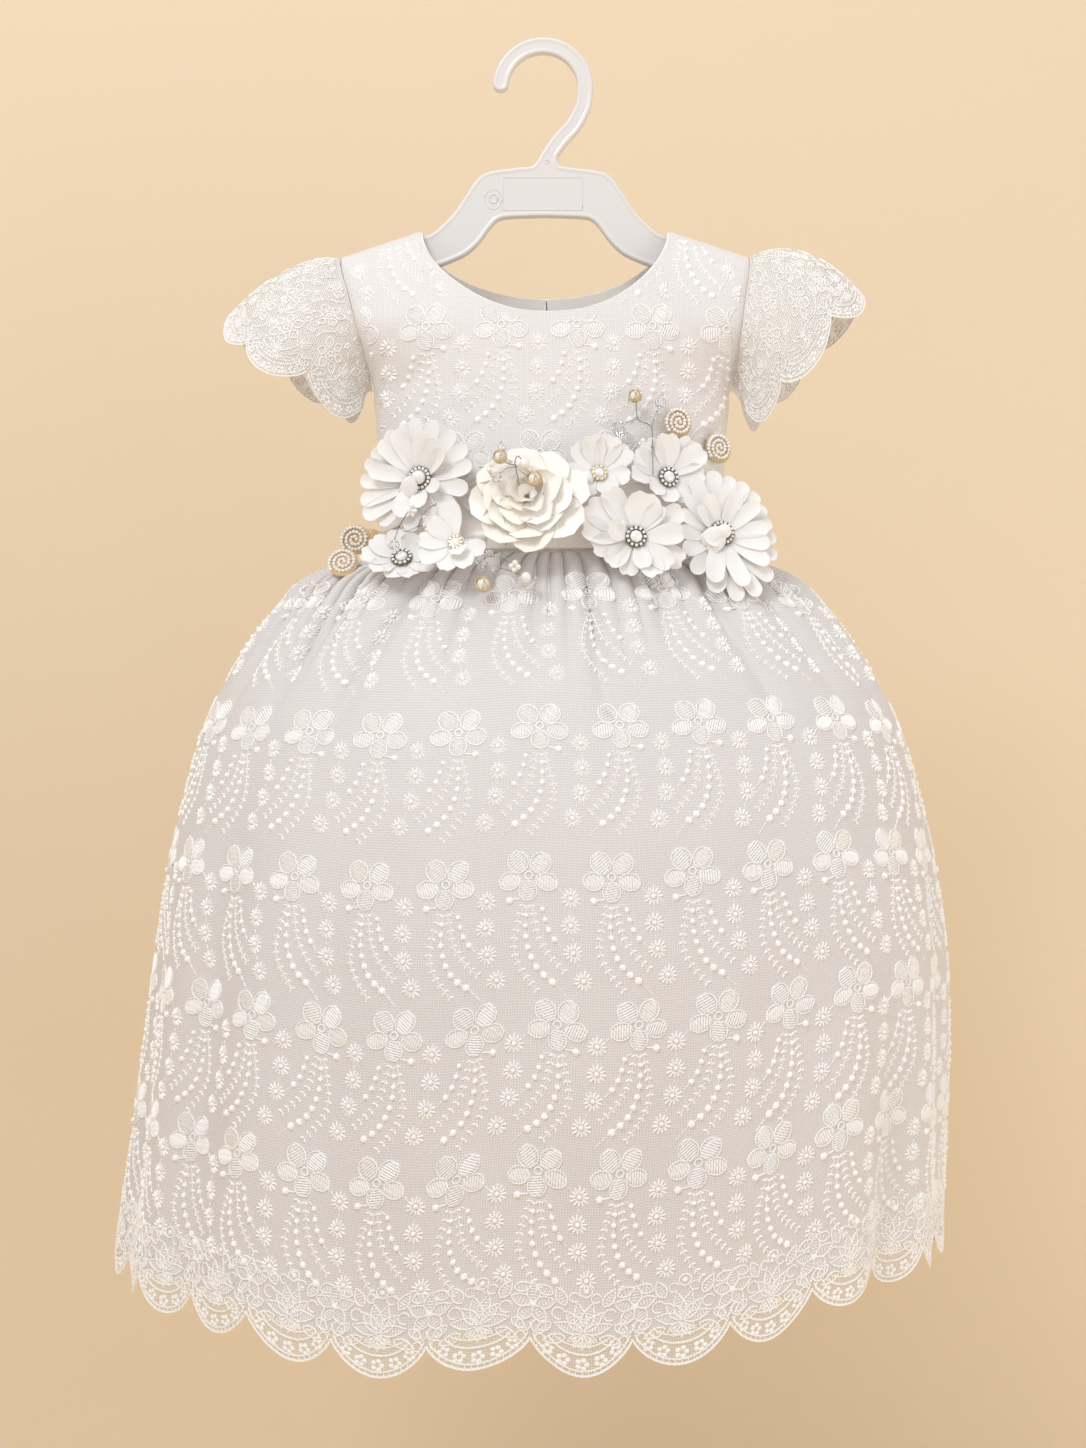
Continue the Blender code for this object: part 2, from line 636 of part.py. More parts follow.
def petal_sheet(petals, radius, rise, notch, ridge, lift):
    """An open round of petals, cut in between each other, whose tips rise towards the viewer."""
    count = petals * 4
    points = [(0.0, 0.0, lift)]
    for share in (0.5, 1.0):
        for step in range(count):
            lobe = (0.0, 0.86, 1.0, 0.86)[step % 4]
            reach = 1 - (1 - notch) * (1 - lobe) * share**2
            crown = ridge * share * (lobe - 0.5)
            distance = radius * share * reach
            turn = 2 * math.pi * step / count
            height = lift + rise * (distance / radius) ** 2 + crown
            points.append((distance * math.cos(turn), distance * math.sin(turn), height))
    faces = [(0, 1 + step, 1 + (step + 1) % count) for step in range(count)]
    for step in range(count):
        after = (step + 1) % count
        faces.append((1 + step, 1 + count + step, 1 + count + after, 1 + after))
    return points, faces


def join(target, other, helpers):
    """Joins another solid into the target."""
    for owner in list(other.users_collection):
        owner.objects.unlink(other)
    helpers.objects.link(other)
    other.hide_render = True
    other.display_type = "WIRE"
    union = target.modifiers.new("Join", "BOOLEAN")
    union.operation = "UNION"
    union.solver = "EXACT"
    union.object = other


def facing_way(turn, tilt):
    """The way a piece faces: straight forward, turned to the right and tilted upwards, in degrees."""
    turn = math.radians(turn)
    tilt = math.radians(tilt)
    return np.array([math.sin(turn) * math.cos(tilt), -math.cos(turn) * math.cos(tilt), math.sin(tilt)])


def middle_of(piece):
    """The middle of a flower or rosette."""
    return np.array([piece["across"], piece["fore"], piece["up"]], float)


def seat_object(thing, place, facing):
    """Stands a piece at a place in millimetres, facing a direction."""
    thing.location = Vector(place) * MM
    thing.rotation_euler = Vector(facing).to_track_quat("Z", "Y").to_euler()


def add_post(target, piece, off, radius, helpers):
    """Joins a post to the back of a flower or rosette, from its foot beside the cloth to its middle."""
    foot, out = ring_point(piece["foot_at"], piece["foot_up"], off)
    facing = facing_way(piece["turn"], piece["tilt"])
    along = middle_of(piece) - foot
    along /= np.linalg.norm(along)
    foot += out * radius * math.sqrt(max(0.0, 1 - float(along @ out) ** 2)) + out * POST_CLEAR
    along = middle_of(piece) - foot
    length = np.linalg.norm(along)
    along /= length
    lean = math.acos(min(1.0, float(along @ facing)))
    top = length + (PETAL_THICK / 5 - radius * math.sin(lean)) / math.cos(lean)
    mesh = bpy.data.meshes.new(piece["name"] + "_post")
    shape = bmesh.new()
    raised = Matrix.Translation((0.0, 0.0, top / 2 * MM))
    bmesh.ops.create_cone(
        shape, cap_ends=True, segments=8, radius1=radius * MM, radius2=radius * MM, depth=top * MM,
        matrix=raised,
    )
    shape.to_mesh(mesh)
    shape.free()
    post = add_object(mesh.name, mesh, target.data.materials[0], helpers)
    seat_object(post, foot, along)
    join(target, post, helpers)


def petal_round(piece, lift, material, collection):
    """One round of a flower's petals, at its place."""
    notch = 0.5 if piece["petals"] > 12 else 0.66
    points, faces = petal_sheet(piece["petals"], piece["radius"], piece["rise"], notch, PETAL_CROWN, lift)
    mesh = sheet_mesh(piece["name"], points, faces)
    return thicken(add_object(piece["name"], mesh, material, collection), PETAL_THICK)


def build_flowers(silk, cream, jewel, collection, helpers):
    """The fabric flowers on the belt, each with its own post, and the jewels in their middles."""
    belt_face = CLOTH / 2 + LAID_GAP + 0.1 + BELT_CLOTH + LAID_GAP
    for flower in [*FLOWERS, BUD_BEHIND]:
        facing = facing_way(flower["turn"], flower["tilt"])
        body = petal_round(flower, 0.0, silk, collection)
        seat_object(body, middle_of(flower), facing)
        add_post(body, flower, belt_face, STEM_RADIUS, helpers)
        if "gem" not in flower:
            continue
        gem = flower["gem"]
        slope = (flower["rise"] / 4 + PETAL_CROWN / 4) / (0.45 * flower["radius"])
        seat = slope * gem + PETAL_THICK / 2 + LAID_GAP
        profile = [(0, 3.6), (gem * 0.55, 3.1), (gem * 0.92, 1.7), (gem, 0.8), (gem * 0.8, 0), (0, 0)]
        name = flower["name"] + "_jewel"
        add_turned(name, profile, 12, middle_of(flower) + facing * seat, facing, jewel, collection)
    build_rose(cream, belt_face, collection, helpers)


def build_rose(cream, belt_face, collection, helpers):
    """The full rose in the middle: two rounds of petals and a bud on one post."""
    facing = facing_way(ROSE["turn"], ROSE["tilt"])
    body = petal_round(ROSE, 0.0, cream, collection)
    seat_object(body, middle_of(ROSE), facing)
    add_post(body, ROSE, belt_face, STEM_RADIUS, helpers)
    inner = petal_round(dict(ROSE_INNER, name="rose_inner"), ROSE_INNER["lift"], cream, collection)
    seat_object(inner, middle_of(ROSE), facing)
    join(body, inner, helpers)
    mesh = bpy.data.meshes.new("rose_bud")
    shape = bmesh.new()
    bmesh.ops.create_uvsphere(shape, u_segments=10, v_segments=6, radius=ROSE_BUD_RADIUS * MM)
    bmesh.ops.translate(shape, verts=shape.verts, vec=(0.0, 0.0, ROSE_BUD_LIFT * MM))
    shape.to_mesh(mesh)
    shape.free()
    bud = add_object("rose_bud", mesh, cream, collection)
    seat_object(bud, middle_of(ROSE), facing)
    join(body, bud, helpers)


def build_rosettes(pearl, ribbon_cloth, collection, helpers):
    """Flat coils of beaded cord, and the short ribbon from the belt that carries the left ones."""
    radius = ROSETTE_RADIUS
    profile = [
        (0, ROSETTE_THICK),
        (radius * 0.6, ROSETTE_THICK * 0.9),
        (radius, ROSETTE_THICK * 0.6),
        (radius, ROSETTE_THICK * 0.2),
        (radius * 0.8, 0),
        (0, 0),
    ]
    for rosette in ROSETTES:
        facing = facing_way(rosette["turn"], rosette["tilt"])
        body = add_turned(rosette["name"], profile, 14, middle_of(rosette), facing, pearl, collection)
        if "foot_at" in rosette:
            add_post(body, rosette, CLOTH / 2 + LAID_GAP, 1.2, helpers)
    edges = (RIBBON_WIDE / 2, -RIBBON_WIDE / 2)
    rows = [[middle_of(place) + np.array([0.0, 0.0, edge]) for place in RIBBON] for edge in edges]
    add_wall("ribbon_left", np.array(rows), FACING_CLOTH, ribbon_cloth, collection)


def main():
    """Clears the scene and builds every piece."""
    for thing in list(bpy.data.objects):
        bpy.data.objects.remove(thing)
    gown = bpy.data.collections.new("Christening gown")
    helpers = bpy.data.collections.new("Helpers")
    bpy.context.scene.collection.children.link(gown)
    bpy.context.scene.collection.children.link(helpers)
    lace = make_material("Embroidered net over satin", (0.87, 0.84, 0.80), 0.75)
    edging = make_material("Corded lace", (0.90, 0.86, 0.80), 0.8)
    satin = make_material("Satin", (0.90, 0.87, 0.84), 0.4)
    silk = make_material("White silk petals", (0.93, 0.91, 0.88), 0.6)
    cream = make_material("Cream silk petals", (0.91, 0.87, 0.78), 0.6)
    pearl = make_material("Pearl", (0.88, 0.80, 0.72), 0.3)
    ribbon = make_material("Beige mesh ribbon", (0.80, 0.67, 0.50), 0.7)
    jewel = make_material("Set crystals", (0.55, 0.53, 0.50), 0.25, 0.6)
    plastic = make_material("White moulded plastic", (0.88, 0.86, 0.84), 0.35)
    build_hanger(plastic, gown)
    build_bodice(lace, satin, pearl, gown)
    for name, side, table in (("left", -1, LEFT_SLEEVE), ("right", 1, RIGHT_SLEEVE)):
        build_sleeve(f"sleeve_{name}", side, table, SLEEVE_START_Z[name], SLEEVE_PUFF[name], edging, gown)
    skirt_half("skirt_front", -90.0, lace, gown)
    skirt_half("skirt_back", 90.0, lace, gown)
    build_belt(satin, gown)
    build_flowers(silk, cream, jewel, gown, helpers)
    build_rosettes(pearl, ribbon, gown, helpers)


main()
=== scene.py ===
"""A baby's christening gown: embroidered net over satin, corded lace, and a belt of silk flowers.

Sizes are in millimetres in the classes and are turned to metres as each mesh is made. The frame's origin
is the top of the inside of the hanger's hook, with +Z up and +Y to the back of the gown.
"""

import json
import logging
import math
from collections.abc import Callable, Sequence
from dataclasses import dataclass, field, replace
from enum import Enum

import bpy
import numpy as np
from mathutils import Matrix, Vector
from mathutils.geometry import tessellate_polygon

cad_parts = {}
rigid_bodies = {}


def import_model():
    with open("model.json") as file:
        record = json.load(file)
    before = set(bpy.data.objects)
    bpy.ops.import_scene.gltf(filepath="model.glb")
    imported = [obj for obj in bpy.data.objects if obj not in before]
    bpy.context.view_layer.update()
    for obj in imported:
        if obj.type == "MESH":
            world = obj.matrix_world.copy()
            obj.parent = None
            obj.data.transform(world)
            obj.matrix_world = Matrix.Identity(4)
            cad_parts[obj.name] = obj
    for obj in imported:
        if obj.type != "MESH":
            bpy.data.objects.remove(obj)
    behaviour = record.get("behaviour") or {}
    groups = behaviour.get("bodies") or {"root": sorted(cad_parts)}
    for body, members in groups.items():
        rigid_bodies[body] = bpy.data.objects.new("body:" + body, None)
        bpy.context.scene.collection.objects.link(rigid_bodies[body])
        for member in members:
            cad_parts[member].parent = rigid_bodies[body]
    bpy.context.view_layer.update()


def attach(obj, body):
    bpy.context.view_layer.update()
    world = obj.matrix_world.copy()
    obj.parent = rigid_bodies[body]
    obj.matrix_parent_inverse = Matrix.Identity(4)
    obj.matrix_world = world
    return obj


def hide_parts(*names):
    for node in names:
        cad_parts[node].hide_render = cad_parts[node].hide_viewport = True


LOG = logging.getLogger("christening_gown")
MM = 0.001
BODY = "root"
CLOTH_HALF = 0.75  # mm from the middle of a panel to its net or its lining

Array = np.ndarray
Surface = Callable[[Array, Array], Array]
Socket = bpy.types.NodeSocket


class Side(Enum):
    """Which side of the gown a piece is on, as seen from the front."""

    LEFT = -1
    RIGHT = 1


class Face(Enum):
    """Front or back of the gown, as the sign of Y."""

    FRONT = -1
    BACK = 1

    @property
    def first(self) -> float:
        """The full-turn angle of the seam where this half of the skirt starts."""
        return 90.0 * self.value


# Small sums


def ease(share: Array | float) -> Array:
    """0 to 1 with flat ends."""
    share = np.clip(share, 0.0, 1.0)
    return share * share * (3 - 2 * share)


def table(*rows: tuple[float, ...]) -> Array:
    """A short table as an array with one row each."""
    return np.array(rows, float)


def curve_through(xs: Array, ys: Array, x: Array | float) -> Array:
    """A smooth curve through points, the same one that the solids use.

    Each slope is the mean of the two chords beside a point, held to three times the flatter one.

    Args:
        xs: the points' places, rising or falling.
        ys: the points' values.
        x: where to read it.

    Returns:
        The curve's values at x.
    """
    if xs[0] > xs[-1]:
        xs, ys = xs[::-1], ys[::-1]
    x = np.clip(np.asarray(x, float), xs[0], xs[-1])
    chords = np.diff(ys) / np.diff(xs)
    slopes = np.concatenate([chords[:1], (chords[1:] + chords[:-1]) / 2, chords[-1:]])
    flatter = np.minimum(np.abs(chords[1:]), np.abs(chords[:-1]))
    limit = 3 * np.concatenate([np.abs(chords[:1]), flatter, np.abs(chords[-1:])])
    slopes = np.clip(slopes, -limit, limit)
    i = np.clip(np.searchsorted(xs, x, side="right") - 1, 0, len(xs) - 2)
    width = xs[i + 1] - xs[i]
    s = (x - xs[i]) / width
    start = ys[i] * (1 + 2 * s) * (1 - s) ** 2 + slopes[i] * width * s * (1 - s) ** 2
    return start + ys[i + 1] * s**2 * (3 - 2 * s) - slopes[i + 1] * width * s**2 * (1 - s)


def unit(vectors: Array) -> Array:
    """Vectors of length one along the last axis."""
    return vectors / np.maximum(np.linalg.norm(vectors, axis=-1, keepdims=True), 1e-12)


def headings(radians: Array | float) -> Array:
    """Flat directions at angles in radians, as their cosines and sines."""
    return np.stack([np.cos(radians), np.sin(radians)], -1)


def heading(degrees: float) -> Array:
    """One flat direction, from its angle in degrees."""
    return headings(math.radians(degrees))


def left_of(along: Array) -> Array:
    """Flat vectors turned a quarter to their left."""
    return np.stack([-along[..., 1], along[..., 0]], -1)


def distances(path: Array) -> Array:
    """How far along a path each of its points lies."""
    return np.concatenate([[0.0], np.cumsum(np.linalg.norm(np.diff(path, axis=0), axis=-1))])


def grid_of(*values: Array | float) -> Array:
    """Arrays or numbers of one grid as the coordinates of its points."""
    return np.stack(np.broadcast_arrays(*values), -1)


def whole_turn(steps: int) -> Array:
    """Evenly spaced angles once round, in radians, without the last."""
    return np.arange(steps) * math.tau / steps


def turned_frame(facing: Array, spin: float = 0.0) -> Array:
    """Right, up and out of a piece that faces a direction.

    Args:
        facing: the direction it faces.
        spin: turn about that direction, in degrees.

    Returns:
        A 3 by 3 array whose rows are its right, its up and its out.
    """
    out = unit(np.asarray(facing, float))
    right = unit(np.cross(np.array([0.0, 0.0, 1.0]), out))
    up = np.cross(out, right)
    c, s = math.cos(math.radians(spin)), math.sin(math.radians(spin))
    return np.stack([right * c + up * s, up * c - right * s, out])


def facing_way(turn: float, tilt: float) -> Array:
    """Straight forward, turned to the right and tilted upwards, in degrees, as a direction."""
    a, b = math.radians(turn), math.radians(tilt)
    return np.array([math.sin(a) * math.cos(b), -math.cos(a) * math.cos(b), math.sin(b)])


# Materials


def hex_linear(code: str) -> tuple[float, float, float, float]:
    """An sRGB hex colour as a linear one with full alpha."""
    values = [int(code[i : i + 2], 16) / 255 for i in (1, 3, 5)]
    linear = [v / 12.92 if v <= 0.04045 else ((v + 0.055) / 1.055) ** 2.4 for v in values]
    return (*linear, 1.0)


class Nodes:
    """A material under construction."""

    def __init__(self, name: str) -> None:
        """Starts a material with an empty Principled shader."""
        self.material = bpy.data.materials.new(name)
        self.material.use_nodes = True
        self.tree = self.material.node_tree
        self.shader = self.tree.nodes["Principled BSDF"]

    def add(self, kind: str, settings: dict | None = None, links: dict | None = None) -> bpy.types.Node:
        """Adds a node.

        Args:
            kind: the node's type name.
            settings: its properties by name, and its input sockets by name or number.
            links: output sockets to join to its inputs, by name or number.

        Returns:
            The node.
        """
        node = self.tree.nodes.new(kind)
        for key, value in (settings or {}).items():
            if isinstance(key, int) or key not in node.bl_rna.properties:
                node.inputs[key].default_value = value
            else:
                setattr(node, key, value)
        for key, socket in (links or {}).items():
            self.tree.links.new(socket, node.inputs[key])
        return node

    def set(self, **values: float | tuple) -> None:
        """Sets the shader's own sockets, with spaces in their names written as underscores."""
        for key, value in values.items():
            self.shader.inputs[key.replace("_", " ")].default_value = value

    def link(self, socket: Socket, target: str) -> None:
        """Joins a socket to one of the shader's."""
        self.tree.links.new(socket, self.shader.inputs[target])

    def ramp(self, factor: Socket, stops: Sequence[tuple[float, tuple]]) -> Socket:
        """A colour ramp through stops of place and colour."""
        node = self.add("ShaderNodeValToRGB", links={0: factor})
        elements = node.color_ramp.elements
        while len(elements) < len(stops):
            elements.new(0.5)
        for element, (place, colour) in zip(elements, stops):
            element.position = place
            element.color = colour
        return node.outputs[0]

    def math(self, operation: str, a: object, b: object = 0.0) -> Socket:
        """A sum of two sockets or numbers."""
        node = self.add("ShaderNodeMath", {"operation": operation})
        for i, value in enumerate((a, b)):
            if isinstance(value, Socket):
                self.tree.links.new(value, node.inputs[i])
            else:
                node.inputs[i].default_value = float(value)
        return node.outputs[0]

    def coordinates(self, kind: str = "Object", scale: tuple = (1, 1, 1)) -> Socket:
        """Object or UV coordinates, scaled."""
        source = self.add("ShaderNodeTexCoord")
        return self.add("ShaderNodeMapping", {"Scale": scale}, {"Vector": source.outputs[kind]}).outputs[0]

    def bump(self, height: Socket, distance: float, strength: float = 1.0) -> None:
        """Raises the surface by a pattern, distance metres high."""
        node = self.add("ShaderNodeBump", {"Distance": distance, "Strength": strength}, {"Height": height})
        self.link(node.outputs[0], "Normal")


@dataclass(frozen=True)
class NetFinish:
    """Bobbinet over satin: a fine hexagonal net, white on a slightly greyer ground."""

    name: str = "Nylon bobbinet"
    thread: str = "#E8E4E3"
    ground: str = "#CDC7C5"
    open_share: float = 0.0
    cell_mm: float = 1.35  # drawn coarser than the real 0.8 mm, so that it shows
    roughness: float = 0.62

    def build(self) -> bpy.types.Material:
        """Returns the material. A net with open_share is see-through between its threads."""
        n = Nodes(self.name)
        uv = n.coordinates("UV", (1000 / self.cell_mm, 1000 / self.cell_mm, 1))
        cells = n.add("ShaderNodeTexVoronoi",
                      {"feature": "DISTANCE_TO_EDGE", "Randomness": 0.25, "Scale": 1.0}, {"Vector": uv})
        thread = n.add("ShaderNodeMapRange",
                       {"From Min": 0.05, "From Max": 0.22, "To Min": 1.0, "To Max": 0.0},
                       {"Value": cells.outputs["Distance"]}).outputs[0]
        drift = n.add("ShaderNodeTexNoise", {"Scale": 22.0, "Detail": 3.0}, {"Vector": n.coordinates()})
        mixed = n.math("ADD", n.math("MULTIPLY", thread, 0.75), n.math("MULTIPLY", drift.outputs[0], 0.25))
        stops = [(0.0, hex_linear(self.ground)), (1.0, hex_linear(self.thread))]
        n.link(n.ramp(mixed, stops), "Base Color")
        n.set(Roughness=self.roughness, Sheen_Weight=0.35, Sheen_Roughness=0.4)
        n.bump(thread, 0.00012, 0.6)
        if self.open_share > 0:
            alpha = n.math("ADD", n.math("MULTIPLY", thread, self.open_share), 1 - self.open_share)
            n.link(alpha, "Alpha")
        return n.material


@dataclass(frozen=True)
class SatinFinish:
    """Polyester satin: smooth, with a soft gloss along its floats and a very fine weave."""

    name: str
    colour: str = "#F6F3F1"
    shade: str = "#E9E4DF"
    roughness: float = 0.36
    sheen: float = 0.4
    thread_mm: float = 0.5  # coarser than the real 0.1 mm, so that it shows
    subsurface: float = 0.0

    def build(self) -> bpy.types.Material:
        """Returns the material."""
        n = Nodes(self.name)
        fine = 1000 / self.thread_mm
        across = n.coordinates("Object", (fine, fine, fine / 4))
        weave = n.add("ShaderNodeTexNoise", {"Scale": 1.0, "Detail": 2.0}, {"Vector": across})
        drift = n.add("ShaderNodeTexNoise", {"Scale": 35.0, "Detail": 4.0}, {"Vector": n.coordinates()})
        stops = [(0.3, hex_linear(self.shade)), (0.62, hex_linear(self.colour))]
        n.link(n.ramp(drift.outputs[0], stops), "Base Color")
        n.set(Roughness=self.roughness, Sheen_Weight=self.sheen, Sheen_Roughness=0.3)
        if self.subsurface:
            n.set(Subsurface_Weight=self.subsurface, Subsurface_Scale=0.003, Subsurface_Radius=(1, 1, 1))
        n.bump(weave.outputs[0], 0.00006, 0.5)
        return n.material


@dataclass(frozen=True)
class ThreadFinish:
    """Rayon embroidery thread: bright and a little glossy, with the stitches' ridges across it."""

    name: str = "Rayon embroidery thread"
    colour: str = "#FFFEFD"
    # darker colour painted into the grooves between the stitch ridges, as shade
    shade: str = "#F6F4F2"
    roughness: float = 0.42
    stitch_mm: float = 0.9

    def build(self) -> bpy.types.Material:
        """Returns the material."""
        n = Nodes(self.name)
        scale = 1000 / self.stitch_mm / math.tau
        waves = {"Scale": scale, "Distortion": 1.5, "bands_direction": "DIAGONAL"}
        stitches = n.add("ShaderNodeTexWave", waves, {"Vector": n.coordinates()})
        # painted shade: the grooves between the stitch ridges are coloured darker than their tops
        stops = [(0.0, hex_linear(self.shade)), (0.7, hex_linear(self.colour))]
        n.link(n.ramp(stitches.outputs["Fac"], stops), "Base Color")
        n.set(Roughness=self.roughness, Sheen_Weight=0.5, Sheen_Roughness=0.3)
        n.bump(stitches.outputs["Fac"], 0.0002, 0.6)
        return n.material


@dataclass(frozen=True)
class PlainFinish:
    """A moulded, cast or polished finish with a faint unevenness."""

    name: str
    colour: str
    roughness: float
    metallic: float = 0.0
    coat: float = 0.0
    transmission: float = 0.0
    ior: float | None = None
    grain_mm: float = 1.0
    grain_deep: float = 0.00003
    uneven: float = 0.06

    def build(self) -> bpy.types.Material:
        """Returns the material."""
        n = Nodes(self.name)
        grain = n.add("ShaderNodeTexNoise", {"Scale": 1000 / self.grain_mm, "Detail": 3.0},
                      {"Vector": n.coordinates()})
        colour = hex_linear(self.colour)
        darker = tuple(v * (1 - self.uneven) for v in colour[:3]) + (1.0,)
        n.link(n.ramp(grain.outputs[0], [(0.2, darker), (0.6, colour)]), "Base Color")
        n.set(Roughness=self.roughness, Metallic=self.metallic, Coat_Weight=self.coat,
              Transmission_Weight=self.transmission)
        if self.ior:
            n.set(IOR=self.ior)
        n.bump(grain.outputs[0], self.grain_deep, 0.4)
        return n.material


class Finish(Enum):
    """The gown's finishes, each one real material; the bodice and sleeve nets carry painted light."""

    NET = NetFinish()
    # the bodice's net is the skirt's net painted lighter, as painted light falling on the top of the gown
    BODICE_NET = NetFinish(name="Bobbinet close on satin", thread="#F0ECEB", ground="#D8D3D1")
    LACE_NET = NetFinish(name="Open bobbinet", open_share=0.74, thread="#E6E1DC", ground="#CFC6BD")
    # the sleeves' open net is painted lighter than the border's, to cancel the shade inside the sleeves:
    # painted light
    SLEEVE_NET = NetFinish(name="Sleeve bobbinet", open_share=0.5, thread="#F1EEEC", ground="#E2DDD9")
    LINING = SatinFinish("Polyester satin lining", colour="#FDFBFA", shade="#F6F3F1")
    BELT = SatinFinish("Duchess satin", colour="#F8F5F3", roughness=0.3)
    SILK = SatinFinish("White pressed silk", "#F8F6F5", "#F1EEEB", roughness=0.6, subsurface=0.15)
    CREAM = SatinFinish("Cream pressed silk", colour="#FFFCF7", shade="#FFFAF1", roughness=0.6)
    THREAD = ThreadFinish()
    CORD = ThreadFinish("Cotton gimp cord", colour="#FFFEFD", shade="#F1EEEB", stitch_mm=0.7)
    PEARL = PlainFinish("Glass pearl", "#F4EFE9", 0.16, coat=0.8)
    SEED = PlainFinish("White seed beads", "#F7F4EF", 0.2, coat=0.5)
    CRYSTAL = PlainFinish("Cut crystal", "#FFFFFF", 0.02, transmission=0.85, ior=1.55, grain_deep=0.0)
    RHINESTONE = PlainFinish("Foiled rhinestone", "#FBFAF9", 0.08, metallic=0.2, coat=1.0, grain_deep=0.0)
    GUNMETAL = PlainFinish("Gunmetal setting", "#7A7168", 0.34, metallic=1.0)
    GOLD = PlainFinish("Gilt setting", "#EAD5AC", 0.28, metallic=0.8)
    WIRE = PlainFinish("Silvered wire", "#A9A6A2", 0.3, metallic=1.0)
    TAN = SatinFinish("Tan gimp", colour="#DFC49C", shade="#C9A87A", roughness=0.7)
    RIBBON = NetFinish("Beige mesh ribbon", thread="#E8CFA5", ground="#C9A673", open_share=0.45)
    PLASTIC = PlainFinish("Moulded polypropylene", "#E3E0DF", 0.3, grain_mm=4, grain_deep=1e-5, uneven=0)
    WALL = PlainFinish("Painted wall", "#E9D5B8", 0.95, grain_mm=600, grain_deep=0.0, uneven=0.03)

    def material(self) -> bpy.types.Material:
        """The one material of this finish, built the first time that it is asked for."""
        return bpy.data.materials.get(self.value.name) or self.value.build()


# Meshes


@dataclass
class Mesh:
    """Points in millimetres, faces as rows of four numbers, the last repeated on a triangle, and UVs."""

    points: Array
    faces: Array
    uv: Array | None = None

    @staticmethod
    def join(parts: Sequence["Mesh"]) -> "Mesh":
        """Several meshes as one."""
        starts = np.cumsum([0] + [len(p.points) for p in parts[:-1]])
        faces = np.concatenate([p.faces + start for p, start in zip(parts, starts)])
        uv = np.concatenate([p.uv for p in parts]) if all(p.uv is not None for p in parts) else None
        return Mesh(np.concatenate([p.points for p in parts]), faces, uv)

    def kept(self, good: Array) -> "Mesh":
        """Only the faces whose corners are all good, and their points."""
        faces = self.faces[good[self.faces].all(1)]
        used, index = np.unique(faces, return_inverse=True)
        uv = None if self.uv is None else self.uv[used]
        return Mesh(self.points[used], index.reshape(faces.shape), uv)

    def flipped(self) -> "Mesh":
        """The same grid with its faces turned over."""
        return Mesh(self.points, self.faces[:, ::-1], self.uv)

    def moved(self, points: Array) -> "Mesh":
        """The same faces on other points."""
        return Mesh(points, self.faces, self.uv)

    def placed(self, place: Array, frame: Array, scale: float = 1.0) -> "Mesh":
        """The mesh with its own x, y and z along a frame's rows, at a place."""
        return self.moved(self.points @ (frame * scale) + np.asarray(place, float))

    def copies(self, places: Array, frames: Array, scales: Array) -> "Mesh":
        """Many copies as one mesh.

        Args:
            places: n by 3 places.
            frames: n by 3 by 3 frames whose rows are right, up and out.
            scales: n sizes.

        Returns:
            The joined mesh, without UVs.
        """
        points = np.einsum("vk,nkj->nvj", self.points, frames * scales[:, None, None]) + places[:, None, :]
        return Mesh(points.reshape(-1, 3), repeated(self.faces, len(places), len(self.points)))


def repeated(faces: Array, count: int, points: int) -> Array:
    """The faces of count copies of a mesh that has this many points."""
    return (faces[None] + np.arange(count)[:, None, None] * points).reshape(-1, 4)


def grid_faces(rows: int, columns: int, closed: bool = False) -> Array:
    """Quads of a grid whose points run along its rows, with its columns joined round when closed."""
    r, c = np.meshgrid(np.arange(rows - 1), np.arange(columns if closed else columns - 1), indexing="ij")
    after = (c + 1) % columns
    near, far = r * columns, (r + 1) * columns
    return np.stack([near + c, near + after, far + after, far + c], -1).reshape(-1, 4)


def grid_mesh(points: Array, uv: Array | None = None, closed: bool = False) -> Mesh:
    """A mesh from a grid of points."""
    rows, columns = points.shape[:2]
    flat_uv = None if uv is None else uv.reshape(-1, 2)
    return Mesh(points.reshape(-1, 3), grid_faces(rows, columns, closed), flat_uv)


def tube(path: Array, radius: float, sides: int = 6, flat: float = 1.0, up: Array | None = None) -> Mesh:
    """A closed round tube along a path: each ring is turned square to the path and drawn in at both ends.

    Args:
        path: n by 3 points.
        radius: half its thickness.
        sides: points in a ring.
        flat: height of a ring as a share of its width, measured along up.
        up: the direction that the ring's flat way is measured from.

    Returns:
        The tube.
    """
    along = unit(np.gradient(path, axis=0))
    guide = np.array([0.0, 0.0, 1.0]) if up is None else np.asarray(up, float)
    guide = np.broadcast_to(guide, along.shape)
    steep = np.abs((along * guide).sum(-1, keepdims=True)) > 0.97
    guide = np.where(steep, np.array([1.0, 0.0, 0.0]), guide)
    wide = unit(np.cross(along, guide))
    high = np.cross(wide, along)
    turn = whole_turn(sides)
    ring = wide[:, None] * np.cos(turn)[None, :, None] + high[:, None] * np.sin(turn)[None, :, None] * flat
    body = path[:, None] + ring * radius
    caps = [body[0].mean(0)[None], body[-1].mean(0)[None]]
    points = np.concatenate([body.reshape(-1, 3), *caps])
    quads = grid_faces(len(path), sides, True)[:, ::-1]
    first, last = len(points) - 2, len(points) - 1
    i = np.arange(sides)
    j = (i + 1) % sides
    start = np.stack([np.full(sides, first), i, j, j], -1)
    base = (len(path) - 1) * sides
    end = np.stack([np.full(sides, last), base + j, base + i, base + i], -1)
    return Mesh(points, np.concatenate([quads, start, end]))


